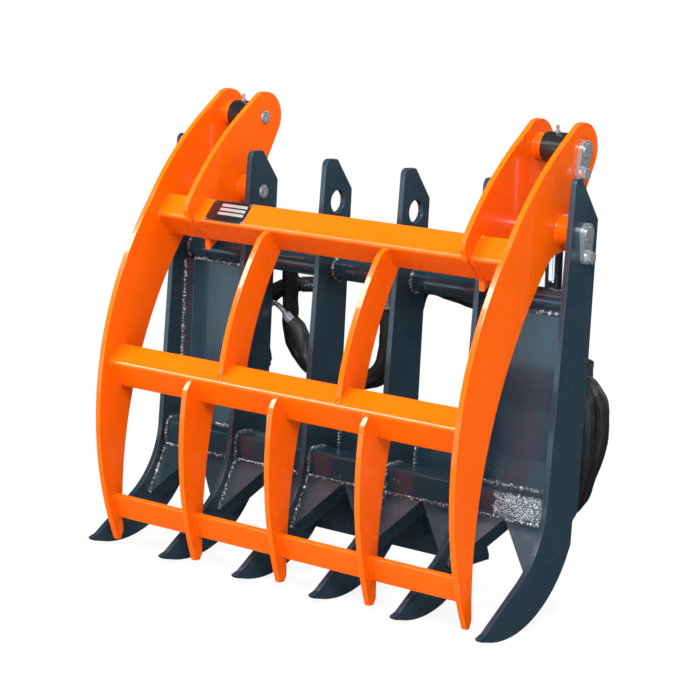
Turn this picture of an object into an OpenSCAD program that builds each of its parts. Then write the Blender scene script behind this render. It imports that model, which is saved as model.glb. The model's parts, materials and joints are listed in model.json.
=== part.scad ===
// Root rake grapple for a small loader, in millimetres.
// The origin is on the clamp pivot axis, on the centre plane. +X is to the right seen from the front,
// +Y runs back to the loader and +Z runs up along the back edges of the rake plates.
// An outline is a list of [y, z] points in the plane of its plate.

/* [Rake plates] */
// Distance from one rake plate to the next
plate_pitch = 175; // [160:1:190]
// Thickness of a rake plate
plate_t = 10; // [8:0.5:12]
// Height of an inner plate above the clamp pivot
inner_top_z = 78; // [68:1:86]
// Height of an outer plate above the clamp pivot
outer_top_z = 95; // [88:1:102]
// Slope of the edge behind the top, in degrees
top_slope = 49; // [44:1:54]
// Distance of the front edge ahead of the pivot
front_y = 41; // [38:1:44]
// Distance of the back edge behind the pivot
back_y = 46; // [43:1:50]
// Height of the shoulder where the top slope meets the back edge
shoulder_z = 22; // [14:1:30]
// Radius of the open hole in the two middle plates
open_hole_r = 21; // [16:0.5:24]
// Radius of a plate's top front corner
top_front_r = 13; // [6:1:16]

/* [Tines] */
// Depth at which the front edge starts to curve into a tine
tine_start_z = 458; // [445:1:465]
// How far the front edge lies ahead of the pivot at that depth
tine_start_y = 58; // [55:1:61]
// Radius of the inner curve of a tine
tine_in_r = 163; // [150:1:180]
// Radius of the belly of a tine
tine_out_r = 214; // [205:1:240]
// Reach of a tine tip ahead of the pivot
tine_reach = 245; // [235:1:255]
// Depth of a tine tip below the pivot
tine_tip_z = 664; // [656:1:670]
// Depth at which the belly starts below the heel
belly_start_z = 557; // [550:1:562]
// Depth of the notch in the heel
heel_notch = 15; // [10:1:18]
// Depth below the pivot at which the heel notch starts
heel_z = 492; // [488:1:496]

/* [Cross tubes] */
// Outer diameter of the round cross tube
round_tube_d = 42.4; // [38:0.1:46]
// Wall of the round cross tube
round_tube_wall = 4; // [3:0.5:6]
// Distance of the round tube's axis behind the pivot
round_tube_y = 17; // [15:0.5:19]
// Depth of the round tube's axis below the pivot
round_tube_z = 125; // [115:1:135]
// Side of the square cross tube
square_tube_w = 50.8; // [48:0.1:54]
// Wall of the square cross tube
square_tube_wall = 5; // [4:0.5:7]
// Distance of the square tube's axis ahead of the pivot
square_tube_y = 20; // [18:0.5:22]
// Depth of the square tube's axis below the pivot
square_tube_z = 484; // [478:1:488]
// Outer radius of the corners of the square tube and of the clamp beams
tube_round_r = 6; // [3:0.5:9]

/* [Guard sheets] */
// Thickness of a guard sheet
guard_t = 5; // [3:0.5:6]
// Distance of the sheet's front face behind the pivot
guard_y = 5.5; // [4:0.5:10]
// Depth at which the sheet folds forward to the square tube
guard_fold_z = 410; // [395:1:425]
// Width of each slanted side of the sheet
guard_side_w = 10; // [8:1:20]
// How far the slanted sides come forward
guard_side_d = 15; // [12:1:20]

/* [Gussets] */
// Thickness of a gusset
gusset_t = 5; // [4:0.5:7]
// Length of a gusset along its tine
gusset_h = 104; // [90:1:110]
// Lean of a gusset from upright, in degrees
gusset_lean = 25.5; // [22:0.5:28]
// Width of the flange along a gusset's free edge
gusset_flange_w = 38; // [28:1:42]

/* [Quick attach plate] */
// Width of the quick attach plate over its cheeks
attach_w = 470; // [450:1:500]
// Thickness of the quick attach plate
attach_t = 8; // [6:0.5:10]
// Depth of the plate's top bend below the pivot
attach_top_z = 392; // [385:1:400]
// Depth of the lower lip's underside below the pivot
attach_bottom_z = 630; // [622:1:636]
// Reach of the top hook behind the plate's rear face
hook_reach = 44; // [38:1:50]
// Rise of the top hook, in degrees
hook_rise = 30; // [22:1:36]
// Drop of the hook's end
hook_drop = 22; // [16:1:26]
// Reach of the lower lip behind the plate's rear face
lip_reach = 44; // [40:1:52]
// Distance between the two lock pin slots
lock_slot_pitch = 380; // [340:1:390]
// Length of a lock pin slot
lock_slot_l = 50; // [44:1:60]
// Width of a lock pin slot
lock_slot_w = 26; // [22:0.5:28]

/* [Clamp frame] */
// Thickness of the clamp's arms, ears and tines
arm_t = 10; // [8:0.5:12]
// Gap between a rake plate and the arm or ear beside it
side_gap = 33.2; // [30:0.2:36]
// Distance from the clamp pivot to the cylinder's top pin
top_pin_reach = 144; // [140:1:148]
// Angle of the top pin above the horizontal, in degrees
top_pin_angle = 70.3; // [69:0.1:72]
// Radius of an arm around the top pin
arm_top_r = 48; // [42:1:52]
// Radius of an arm behind the pivot
arm_pivot_r = 27.4; // [26.5:0.1:30]
// Radius of the upper part of an arm's front edge
arm_brow_r = 596; // [560:1:640]
// Radius of the lower part of an arm's front edge
arm_front_r = 618; // [580:1:660]
// Radius of an arm's back edge
arm_back_r = 768; // [740:1:820]
// Depth of the clamp tips below the pivot
clamp_tip_z = 662; // [656:1:664]
// Width of the face of a clamp beam that looks down
beam_face_w = 63; // [58:1:66]
// Width of the face of a clamp beam that looks up
beam_top_w = 53; // [48:1:56]
// Wall of a clamp beam
beam_wall = 6; // [4:0.5:8]
// Tilt of the upper beam's lower face, in degrees
upper_beam_tilt = 41; // [38:0.5:44]
// Tilt of the middle beam's lower face, in degrees
middle_beam_tilt = 54; // [51:0.5:57]
// Radius of the front edge of an upper clamp tine
upper_tine_front_r = 544; // [500:1:600]
// Radius of the back edge of an upper clamp tine
upper_tine_back_r = 586; // [540:1:640]
// Radius of the front edge of a lower clamp tine
lower_tine_front_r = 632; // [590:1:690]
// Radius of the back edge of a lower clamp tine
lower_tine_back_r = 958; // [900:1:1100]
// Height of the tie bar between the clamp tips
tie_h = 48; // [42:1:52]
// Thickness of the tie bar
tie_t = 9; // [6:0.5:10]

/* [Pins and bosses] */
// Diameter of the hinge pins
pin_d = 25; // [22:0.5:27]
// Diameter of the pivot bosses
pivot_boss_d = 52; // [46:1:53]
// Diameter of the bosses beside the rod eye
eye_boss_d = 44; // [38:1:48]
// How far a pin stands out of the last plate
pin_proud = 2.5; // [2:0.5:6]
// Thickness of a pin's flag plate
flag_t = 8; // [6:0.5:10]
// Radius of a flag plate around its pin
flag_pin_r = 18; // [16:0.5:22]
// Radius of a flag plate around its keeper bolt
flag_bolt_r = 12.5; // [11.5:0.5:14]
// Distance from a pin to its keeper bolt
keeper_reach = 40; // [38:1:44]
// Diameter of a keeper bolt
keeper_d = 12; // [10:1:14]
// Width across flats of a keeper bolt's head
keeper_flats = 19; // [17:0.5:21]
// Height of a keeper bolt's head
keeper_head_h = 8; // [6:0.5:9]
// Outer diameter of a keeper washer
washer_d = 24; // [21:0.5:25]
// Thickness of a keeper washer
washer_t = 2.5; // [2:0.1:3]

/* [Cylinders] */
// Distance of the base pin behind the pivot
base_pin_y = 82.5; // [81:0.5:84]
// Depth of the base pin below the pivot
base_pin_z = 430; // [420:1:436]
// Diameter of the piston rod
rod_d = 30; // [28:0.5:32]
// Outer diameter of the barrel
barrel_d = 60; // [57:0.5:62]
// Wall of the barrel
barrel_wall = 4.6; // [4:0.1:5]
// Distance from the top pin to the gland's upper end at rest
gland_start = 288; // [284:1:300]
// Length of the gland
gland_l = 44; // [38:1:50]
// Diameter of the gland's collar
gland_d = 66; // [64:0.5:67]
// Height of the gland's collar above the barrel
gland_collar_h = 12; // [8:1:16]
// Length of the piston
piston_l = 30; // [24:1:36]
// Distance from the gland to the piston at rest
piston_rest = 6; // [3:1:10]
// Outer diameter of the rod eye
rod_eye_d = 55; // [50:0.5:58]
// Width of the rod eye and the base eye
eye_w = 45; // [40:0.5:48]
// Outer diameter of the base eye
base_eye_d = 62; // [60:0.5:64]
// Clearance around the base pin, which takes up the opened linkage
base_eye_play = 10.5; // [10.2:0.1:11]
// Distance from the base pin to the barrel's closed end
barrel_end = 47; // [45:1:50]
// Thickness of the barrel's closed end
barrel_cap_t = 12; // [10:0.5:14]
// Thickness of a base lug
lug_t = 10; // [8:0.5:12]
// Radius of a base lug around its pin
lug_r = 27; // [24:0.5:29]
// Diameter of an oil port's boss
port_d = 22; // [20:0.5:26]
// Height of an oil port's boss above the barrel
port_h = 10; // [6:0.5:14]

/* [Clearances] */
// Radial clearance of a pin or rod in its bore
pin_gap = 0.05; // [0.02:0.01:0.1]
// Clearance of a piece that passes through a cut plate
cut_gap = 0.2; // [0.1:0.05:0.4]
// Clearance between pieces that turn or slide side by side
side_play = 0.3; // [0.2:0.05:0.6]

/* [Hidden] */
frame_paint = [0.13, 0.17, 0.21];
clamp_paint = [0.93, 0.38, 0.04];
zinc = [0.72, 0.73, 0.74];
chrome = [0.85, 0.86, 0.88];
cylinder_paint = [0.05, 0.05, 0.055];
seal_rubber = [0.08, 0.08, 0.08];
// Segments of a full circle and of an outline's arc
round_fn = 72;
arc_n = 18;
corner_n = 5;

// Plates are counted from 0 at the left to 5 at the right
plate_n = 6;
bay_w = plate_pitch - plate_t;
outer_plate_x = plate_x(plate_n - 1);
inner_plate_x = plate_x(plate_n - 2);
outer_face_x = outer_plate_x + plate_t / 2;
arm_x = outer_plate_x - plate_t / 2 - side_gap - arm_t / 2;
ear_x = inner_plate_x + plate_t / 2 + side_gap + arm_t / 2;
cylinder_x = (arm_x + ear_x) / 2;
pin_r = pin_d / 2;
pin_bore_r = pin_r + pin_gap;
keeper_r = keeper_d / 2;
keeper_bore_r = keeper_r + pin_gap;
top_pin = top_pin_reach * [cos(top_pin_angle), sin(top_pin_angle)];
base_pin = [base_pin_y, -base_pin_z];
cylinder_l = norm(base_pin - top_pin);
cylinder_lean = atan2(base_pin[0] - top_pin[0], top_pin[1] - base_pin[1]);
pivot_keeper = keeper_reach * [cos(-87), sin(-87)];
top_keeper = top_pin + keeper_reach * [cos(-105), sin(-105)];
square_tube_back = square_tube_w / 2 - square_tube_y;
square_tube_top = square_tube_w / 2 - square_tube_z;
square_tube_bottom = -square_tube_w / 2 - square_tube_z;
guard_back = guard_y + guard_t;
guard_top_z = -round_tube_z - side_play - sqrt(pow(round_tube_d / 2, 2) - pow(round_tube_y - guard_back, 2));
gusset_w = bay_w / 2 - side_play;
attach_face = back_y + attach_t;
upper_beam_apex = [-148, -50];
middle_beam_apex = [-266.5, -317];
tie_top = [-239, -573.5];
tie_tilt = 23;
arm_brow_start = [-23, 140];
arm_brow_end = [-165, -20];
arm_heel = [13, -35];
arm_hollow = [-28, -42];
arm_back_start = [-42, -56];
arm_tip = [-220, -clamp_tip_z];
arm_tip_back = arm_tip + [14, 14];
hollow_r = 12;
heel_r = 8;
slope_corner_r = 8;
ear_lip = 12;
// Chamfer and centre hole at the free end of a pin
pin_chamfer = 1.5;
centre_hole_r = 3;
centre_hole_l = 4;
upper_tine_x = arm_x / 3;
lower_tine_x = arm_x / 2;
barrel_r = barrel_d / 2;
barrel_in_r = barrel_r - barrel_wall;
rod_r = rod_d / 2;
gland_end = gland_start + gland_collar_h + gland_l;
piston_start = gland_end + piston_rest;
socket_start = rod_eye_d / 2 - 6;
barrel_bottom = cylinder_l - barrel_end;
piston_neck_r = 10;
piston_nut_h = 14;
nipple_lean = 10;
nipple_shank_r = 3;
nipple_shank_l = 6;

function plate_x(i) = (i - (plate_n - 1) / 2) * plate_pitch;
function unit(v) = v / norm(v);
function polar(c, r, a) = c + r * [cos(a), sin(a)];
// Points from a to b on an arc of radius r that bows to the left of the way from a to b
function bow(a, b, r, n = arc_n) = let(
    d = b - a,
    c = (a + b) / 2 - sign(r) * sqrt(r * r - d * d / 4) * unit([-d[1], d[0]]),
    start = atan2(a[1] - c[1], a[0] - c[0]),
    sweep = 2 * asin(norm(d) / 2 / r))
    [for (i = [0 : n]) polar(c, abs(r), start - sweep * i / n)];
function turn(c, r, from, to, n = arc_n) = [for (i = [0 : n]) polar(c, r, from + (to - from) * i / n)];
// A corner at c between p and q, rounded by radius r
function corner(p, c, q, r) = let(
    u = unit(p - c),
    v = unit(q - c),
    half = acos(u * v) / 2,
    m = c + unit(u + v) * r / sin(half),
    a = c + u * r / tan(half) - m,
    b = c + v * r / tan(half) - m)
    [for (i = [0 : corner_n]) m + r * unit(a * (corner_n - i) + b * i)];
// Outline of two discs joined by their outer tangents
function link(p, rp, q, rq) = let(
    d = q - p,
    base = atan2(d[1], d[0]),
    a = acos((rp - rq) / norm(d)))
    concat(turn(p, rp, base + a, base + 360 - a), turn(q, rq, base - a, base + a));

// Extrudes an outline in the YZ plane, centred on x
module plate(x, t) {
    translate([x - t / 2, 0, 0]) rotate([90, 0, 90]) linear_extrude(t) children();
}
module rod_x(r, from, to, at, fn = round_fn) {
    translate([from, at[0], at[1]]) rotate([0, 90, 0]) cylinder(r = r, h = to - from, $fn = fn);
}
module disc(at, r) {
    translate(at) circle(r, $fn = round_fn);
}
module on_left() {
    mirror([1, 0, 0]) children();
}
// Local frame of a cylinder: the top pin is the origin and the base pin lies down -Z
module on_cylinder() {
    translate([cylinder_x, top_pin[0], top_pin[1]]) rotate([cylinder_lean, 0, 0]) children();
}
// A round stretch of the cylinder between two distances from its top pin
module stretch(r, from, to) {
    translate([0, 0, -to]) cylinder(r = r, h = to - from, $fn = round_fn);
}
// A rectangle from the origin to [w, h] with round corners
module round_rect(w, h, r) {
    polygon(concat(
        corner([w, 0], [0, 0], [0, h], r),
        corner([0, 0], [0, h], [w, h], r),
        corner([0, h], [w, h], [w, 0], r),
        corner([w, h], [w, 0], [0, 0], r)));
}
module square_hollow(w, h, wall) {
    difference() {
        round_rect(w, h, tube_round_r);
        translate([wall, wall]) round_rect(w - 2 * wall, h - 2 * wall, max(tube_round_r - wall, 1));
    }
}

// Outline of a rake plate whose top lies at top_z
module plate_outline(top_z) {
    shoulder = [back_y - 5, shoulder_z];
    slope_y = shoulder[0] - (top_z - shoulder_z) / tan(top_slope);
    top_w = slope_y + front_y;
    tine_in_end = [-tine_reach + 118, -tine_tip_z + 72];
    belly_end = [-tine_reach + 40, -tine_tip_z - 13.5];
    polygon(concat(
        corner([-front_y, 0], [-front_y, top_z], [slope_y, top_z], min(top_front_r, top_w * 0.65)),
        corner([-front_y, top_z], [slope_y, top_z], shoulder, min(slope_corner_r, top_w * 0.6)),
        corner([slope_y, top_z], shoulder, [back_y, -attach_top_z], slope_corner_r),
        [[back_y, -attach_top_z], [back_y, -heel_z], [back_y - 4, -heel_z - 6]],
        [[back_y - heel_notch, -heel_z - 15], [back_y - heel_notch, -belly_start_z + 9]],
        bow([back_y - heel_notch - 4, -belly_start_z], belly_end, tine_out_r),
        [[-tine_reach + 6, -tine_tip_z - 6], [-tine_reach, -tine_tip_z], [-tine_reach + 17, -tine_tip_z + 5]],
        bow(tine_in_end, [-tine_start_y, -tine_start_z], -tine_in_r)));
}
module rake_plate(i) {
    outer = i == 0 || i == plate_n - 1;
    middle = i == 2 || i == 3;
    color(frame_paint) plate(plate_x(i), plate_t) difference() {
        plate_outline(outer ? outer_top_z : inner_top_z);
        disc([0, 0], middle ? open_hole_r : pin_bore_r);
        if (outer) disc(pivot_keeper, keeper_bore_r);
        if (!outer) {
            disc([round_tube_y, -round_tube_z], round_tube_d / 2 + cut_gap);
            square_tube_place(cut_gap) round_rect(square_tube_w + 2 * cut_gap, square_tube_w + 2 * cut_gap,
                tube_round_r + cut_gap);
        }
    }
}
module round_cross_tube() {
    end_x = outer_plate_x - plate_t / 2;
    color(frame_paint) difference() {
        rod_x(round_tube_d / 2, -end_x, end_x, [round_tube_y, -round_tube_z]);
        rod_x(round_tube_d / 2 - round_tube_wall, -end_x - 1, end_x + 1, [round_tube_y, -round_tube_z]);
    }
}
// Puts a section's front lower corner, grown by gap, where the square tube's is
module square_tube_place(gap) {
    translate([square_tube_back - square_tube_w - gap, square_tube_bottom - gap]) children();
}
module square_cross_tube() {
    color(frame_paint) plate(0, 2 * outer_plate_x - plate_t)
        square_tube_place(0) square_hollow(square_tube_w, square_tube_w, square_tube_wall);
}
// One gusset on the right face of plate i, seated under the square tube's front lower corner
module gusset(i) {
    free_edge = atan2(gusset_h, gusset_w);
    down = [-sin(gusset_lean), -cos(gusset_lean)];
    seat = [square_tube_back - square_tube_w, square_tube_bottom] + tube_round_r * ([1, 1] + down)
        + gusset_t * 0.4 * [down[1], -down[0]];
    translate([plate_x(i) + plate_t / 2, seat[0], seat[1]])
        rotate([-gusset_lean, 0, 0]) intersection() {
            union() {
                translate([0, gusset_t, 0]) rotate([90, 0, 0]) linear_extrude(gusset_t)
                    polygon([[0, 0], [gusset_w, 0], [0, -gusset_h]]);
                translate([0, 0, -gusset_h]) rotate([0, -free_edge, 0])
                    cube([norm([gusset_w, gusset_h]), gusset_flange_w, gusset_t]);
            }
            translate([0, 0, -gusset_h]) cube([gusset_w, gusset_flange_w, gusset_h]);
        }
}
module gussets_right_faces() {
    color(frame_paint) for (i = [0 : plate_n - 2]) gusset(i);
}
module gussets_left_faces() {
    color(frame_paint) on_left() for (i = [0 : plate_n - 2]) gusset(i);
}
// The guard sheet of the right end bay, with slanted sides and a foot on the square tube
module guard_sheet() {
    inner_x = inner_plate_x + plate_t / 2;
    outer_x = outer_plate_x - plate_t / 2;
    front = guard_y - guard_side_d;
    foot = square_tube_back - tube_round_r + 2;
    color(frame_paint) {
        translate([0, 0, -guard_fold_z]) linear_extrude(guard_fold_z + guard_top_z) polygon([
            [inner_x, front], [inner_x + guard_side_w, guard_y], [outer_x - guard_side_w, guard_y],
            [outer_x, front], [outer_x, front + guard_t * 1.3], [outer_x - guard_side_w, guard_back],
            [inner_x + guard_side_w, guard_back], [inner_x, front + guard_t * 1.3]]);
        translate([inner_x, 0, 0]) rotate([90, 0, 90]) linear_extrude(bay_w) polygon([
            [guard_y, -guard_fold_z], [guard_back, -guard_fold_z],
            [foot, square_tube_top], [foot - guard_t, square_tube_top]]);
    }
}
// Folded plate with a hook above and a lip with slots below, for the loader
module quick_attach_plate() {
    hook = [attach_face + hook_reach, -attach_top_z + hook_reach * tan(hook_rise)];
    lip_y = attach_face + lip_reach;
    color(frame_paint) difference() {
        plate(0, attach_w - 2 * attach_t) polygon([
            [back_y, -attach_top_z], [back_y, -attach_bottom_z], [lip_y, -attach_bottom_z],
            [lip_y, -attach_bottom_z + attach_t], [attach_face, -attach_bottom_z + attach_t],
            [attach_face, -attach_top_z - attach_t], [hook[0] - attach_t, hook[1] - attach_t],
            [hook[0] - attach_t, hook[1] - hook_drop], [hook[0], hook[1] - hook_drop], hook]);
        for (side = [-1, 1])
            translate([side * lock_slot_pitch / 2, (attach_face + lip_y) / 2, -attach_bottom_z - 1])
            linear_extrude(attach_t + 2) {
                square([lock_slot_l - lock_slot_w, lock_slot_w], center = true);
                for (end = [-1, 1]) translate([end * (lock_slot_l - lock_slot_w) / 2, 0])
                    circle(d = lock_slot_w, $fn = round_fn);
            }
    }
}
// Cheeks that close the ends of the plate and its lip
module quick_attach_cheeks() {
    low = -attach_bottom_z + attach_t;
    color(frame_paint) for (side = [-1, 1]) plate(side * (attach_w - attach_t) / 2, attach_t) polygon([
        [back_y, low - attach_t], [attach_face + lip_reach, low - attach_t], [attach_face + lip_reach, low],
        [attach_face, low + 2 * lip_reach], [back_y, low + 2 * lip_reach]]);
}
// The lugs of the right cylinder, on the back of the square tube
module cylinder_lugs() {
    high = [square_tube_back, square_tube_top - tube_round_r];
    low = [square_tube_back, square_tube_bottom + tube_round_r];
    color(frame_paint) for (side = [-1, 1])
        plate(cylinder_x + side * (eye_w / 2 + side_play + lug_t / 2), lug_t) difference() {
            polygon(concat([high, low], turn(base_pin, lug_r, -60, 125)));
            disc(base_pin, pin_bore_r);
        }
}
// The chamfered end of a pin, which points to -X
module pin_end(from, at) {
    translate([from, at[0], at[1]]) rotate([0, 90, 0])
        cylinder(r1 = pin_r - pin_chamfer, r2 = pin_r, h = pin_chamfer, $fn = round_fn);
}
// A pin along X with its flag plate at the outer end
module flag_pin(at, bolt, from, face) {
    difference() {
        union() {
            pin_end(from, at);
            rod_x(pin_r, from + pin_chamfer, face + flag_t + pin_chamfer, at);
            plate(face + flag_t / 2, flag_t) polygon(link(at, flag_pin_r, bolt, flag_bolt_r));
        }
        rod_x(centre_hole_r, from - 1, from + centre_hole_l, at);
        rod_x(keeper_bore_r, face - 1, face + flag_t + 1, bolt);
    }
}
module keeper_bolt(bolt, from, face) {
    seat = face + flag_t + washer_t;
    rod_x(keeper_r, from, seat, bolt);
    rod_x(keeper_flats / sqrt(3), seat, seat + keeper_head_h, bolt, 6);
}
module keeper_washer(bolt, face) {
    difference() {
        rod_x(washer_d / 2, face + flag_t, face + flag_t + washer_t, bolt);
        rod_x(keeper_bore_r, face + flag_t - 1, face + flag_t + washer_t + 1, bolt);
    }
}
module pivot_pin() {
    color(zinc) flag_pin([0, 0], pivot_keeper, inner_plate_x - plate_t / 2 - pin_proud, outer_face_x);
}
module pivot_keeper_bolts() {
    color(zinc) both_sides() keeper_bolt(pivot_keeper, outer_plate_x - plate_t / 2, outer_face_x);
}
module pivot_keeper_washers() {
    color(zinc) both_sides() keeper_washer(pivot_keeper, outer_face_x);
}
module base_pins() {
    reach = eye_w / 2 + side_play + lug_t + pin_proud;
    color(zinc) both_sides() {
        pin_end(cylinder_x - reach, base_pin);
        rod_x(pin_r, cylinder_x - reach + pin_chamfer, cylinder_x + reach, base_pin);
    }
}
module both_sides() {
    children();
    on_left() children();
}

// A point given from the upper beam's forward edge, along its lower face and its top face
function on_upper_beam(p) = let(t = upper_beam_tilt)
    upper_beam_apex + p[0] * [cos(t), -sin(t)] + p[1] * [sin(t), cos(t)];
// Section of a beam of the clamp, with its forward corner at apex
module beam_section(apex, tilt) {
    translate(apex) rotate(-tilt) round_rect(beam_face_w, beam_top_w, tube_round_r);
}
module beam(apex, tilt) {
    color(clamp_paint) plate(0, 2 * arm_x - arm_t) translate(apex) rotate(-tilt)
        square_hollow(beam_face_w, beam_top_w, beam_wall);
}
// The head that the arms and the ears share: round the top pin and down behind the pivot
function head_line() = let(
    base = top_pin_angle + 180,
    a = acos((arm_top_r - arm_pivot_r) / top_pin_reach))
    turn(top_pin, arm_top_r, base + a - 360, 118);
module arm_outline() {
    polygon(concat(
        head_line(),
        bow(arm_brow_start, arm_brow_end, -arm_brow_r),
        bow(arm_brow_end, arm_tip, -arm_front_r),
        [arm_tip + [8, 0]],
        bow(arm_tip_back, arm_back_start, arm_back_r),
        corner(arm_back_start, arm_hollow, arm_heel, hollow_r),
        corner(arm_hollow, arm_heel, pivot_tangent(), heel_r)));
}
function pivot_tangent() = let(
    base = top_pin_angle + 180,
    a = acos((arm_top_r - arm_pivot_r) / top_pin_reach))
    polar([0, 0], arm_pivot_r, base + a);
module clamp_arm() {
    color(clamp_paint) plate(arm_x, arm_t) difference() {
        arm_outline();
        disc([0, 0], pin_bore_r);
        disc(top_pin, pin_bore_r);
        disc(top_keeper, keeper_bore_r);
    }
}
module clamp_ear() {
    low = on_upper_beam([beam_face_w + ear_lip, 0]);
    color(clamp_paint) plate(ear_x, arm_t) difference() {
        polygon(concat(
            head_line(),
            bow(arm_brow_start, arm_brow_end, -arm_brow_r),
            [arm_brow_end - [3, 13], upper_beam_apex - [10, 3], on_upper_beam([5, 6]),
                on_upper_beam([beam_face_w - 7, 5]), low - [6, 10], low + [10, 2]],
            corner(low + [10, 2], arm_hollow, arm_heel, hollow_r),
            corner(arm_hollow, arm_heel, pivot_tangent(), heel_r)));
        beam_section(upper_beam_apex, upper_beam_tilt);
        disc([0, 0], pin_bore_r);
        disc(top_pin, pin_bore_r);
    }
}
module upper_tine(x) {
    color(clamp_paint) plate(x, arm_t) difference() {
        polygon(concat(
            [on_upper_beam([20, 8]), on_upper_beam([6, 6])],
            bow(upper_beam_apex - [14, 14], middle_beam_apex + [10.5, 14], -upper_tine_front_r),
            [middle_beam_apex + [14, 0], middle_beam_apex + [50, 0]],
            bow(middle_beam_apex + [78.5, 11], upper_beam_apex + [43, -39], upper_tine_back_r)));
        beam_section(upper_beam_apex, upper_beam_tilt);
        beam_section(middle_beam_apex, middle_beam_tilt);
    }
}
module lower_tine(x) {
    tip = [-226, -clamp_tip_z];
    color(clamp_paint) plate(x, arm_t) difference() {
        polygon(concat(
            [middle_beam_apex + [66.5, -28], middle_beam_apex + [15, -8], middle_beam_apex + [7, -4]],
            bow(middle_beam_apex - [6.5, 23], tip, -lower_tine_front_r),
            [tip + [12, 0]],
            bow(tip + [18, 10], middle_beam_apex + [72.5, -66], lower_tine_back_r),
            [middle_beam_apex + [80.5, -33]]));
        beam_section(middle_beam_apex, middle_beam_tilt);
    }
}
// Four lengths of flat bar between the arms and the lower tines
module tie_bars() {
    color(clamp_paint) for (k = [-1.5, -0.5, 0.5, 1.5]) plate(k * lower_tine_x, lower_tine_x - arm_t)
        translate(tie_top) rotate(tie_tilt) translate([0, -tie_h]) square([tie_t, tie_h]);
}
module boss(r, from, to, at) {
    difference() {
        rod_x(r, from, to, at);
        rod_x(pin_bore_r, from - 1, to + 1, at);
    }
}
module pivot_bosses() {
    l = side_gap - side_play;
    color(clamp_paint) both_sides() {
        boss(pivot_boss_d / 2, arm_x + arm_t / 2, arm_x + arm_t / 2 + l, [0, 0]);
        boss(pivot_boss_d / 2, ear_x - arm_t / 2 - l, ear_x - arm_t / 2, [0, 0]);
    }
}
module cylinder_bosses() {
    l = (arm_x - ear_x - arm_t - eye_w) / 2 - side_play;
    color(clamp_paint) both_sides() {
        boss(eye_boss_d / 2, arm_x - arm_t / 2 - l, arm_x - arm_t / 2, top_pin);
        boss(eye_boss_d / 2, ear_x + arm_t / 2, ear_x + arm_t / 2 + l, top_pin);
    }
}
module top_pin_piece() {
    color(zinc) flag_pin(top_pin, top_keeper, ear_x - arm_t / 2 - pin_proud, arm_x + arm_t / 2);
}
module top_keeper_bolts() {
    color(zinc) both_sides() keeper_bolt(top_keeper, arm_x - arm_t / 2, arm_x + arm_t / 2);
}
module top_keeper_washers() {
    color(zinc) both_sides() keeper_washer(top_keeper, arm_x + arm_t / 2);
}

// The rod, whose turned-down end carries the piston and its nut
module rod() {
    color(chrome) on_cylinder() {
        stretch(rod_r, socket_start, piston_start);
        stretch(piston_neck_r, piston_start, piston_start + piston_l + piston_nut_h + 2);
    }
}
// The eye, with a socket that takes the end of the rod
module rod_eye() {
    color(cylinder_paint) on_cylinder() difference() {
        rod_x(rod_eye_d / 2, -eye_w / 2, eye_w / 2, [0, 0]);
        rod_x(pin_bore_r, -eye_w / 2 - 1, eye_w / 2 + 1, [0, 0]);
        stretch(rod_r + pin_gap, socket_start, rod_eye_d);
        rotate([nipple_lean, 0, 0]) translate([0, 0, rod_eye_d / 2 - nipple_shank_l - 1])
            cylinder(r = nipple_shank_r + pin_gap, h = nipple_shank_l + 3, $fn = round_fn);
    }
}
module grease_nipple() {
    seat = rod_eye_d / 2;
    color(zinc) on_cylinder() rotate([nipple_lean, 0, 0]) {
        translate([0, 0, seat - nipple_shank_l]) cylinder(r = nipple_shank_r, h = nipple_shank_l, $fn = round_fn);
        translate([0, 0, seat]) cylinder(r = 5, h = 4, $fn = 6);
        translate([0, 0, seat + 4]) cylinder(r = 2.4, h = 5, $fn = round_fn);
        translate([0, 0, seat + 9]) cylinder(r = 3.2, h = 4, $fn = round_fn);
    }
}
module piston() {
    groove = 2.5;
    color(zinc) on_cylinder() difference() {
        stretch(barrel_in_r - pin_gap, piston_start, piston_start + piston_l);
        stretch(piston_neck_r + pin_gap, piston_start - 1, piston_start + piston_l + 1);
        for (k = [0.3, 0.7]) difference() {
            stretch(barrel_r, piston_start + piston_l * k - 2, piston_start + piston_l * k + 2);
            stretch(barrel_in_r - groove, piston_start, piston_start + piston_l);
        }
    }
}
module piston_nut() {
    from = piston_start + piston_l;
    color(zinc) on_cylinder() difference() {
        translate([0, 0, -from - piston_nut_h]) cylinder(r = 17, h = piston_nut_h, $fn = 6);
        stretch(piston_neck_r + pin_gap, from - 1, from + piston_nut_h + 1);
    }
}
// The barrel with its closed end, base eye and two oil ports behind
module barrel() {
    top = gland_start + gland_collar_h;
    port_top = gland_end + 14;
    port_low = barrel_bottom - barrel_cap_t - 14;
    color(cylinder_paint) on_cylinder() difference() {
        union() {
            stretch(barrel_r, top, barrel_bottom);
            translate([-eye_w / 2, -20, -cylinder_l]) cube([eye_w, 40, barrel_end]);
            rod_x(base_eye_d / 2, -eye_w / 2, eye_w / 2, [0, -cylinder_l]);
            for (at = [port_top, port_low]) translate([0, barrel_in_r + 2, -at]) rotate([-90, 0, 0])
                cylinder(d = port_d, h = barrel_wall + port_h - 2, $fn = round_fn);
        }
        stretch(barrel_in_r, top - 1, barrel_bottom - barrel_cap_t);
        rod_x(pin_r + base_eye_play, -eye_w / 2 - 1, eye_w / 2 + 1, [0, -cylinder_l]);
        for (at = [port_top, port_low]) translate([0, barrel_in_r - 5, -at]) rotate([-90, 0, 0])
            cylinder(d = port_d / 2, h = barrel_wall + port_h + 10, $fn = round_fn);
    }
}
module gland() {
    top = gland_start + gland_collar_h;
    color(cylinder_paint) on_cylinder() difference() {
        union() {
            stretch(gland_d / 2, gland_start, top);
            stretch(barrel_in_r - pin_gap, top, gland_end);
        }
        stretch(rod_r + pin_gap, gland_start - 1, gland_end + 1);
        stretch(rod_r + 4, gland_start - 1, gland_start + 6);
    }
}
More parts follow.
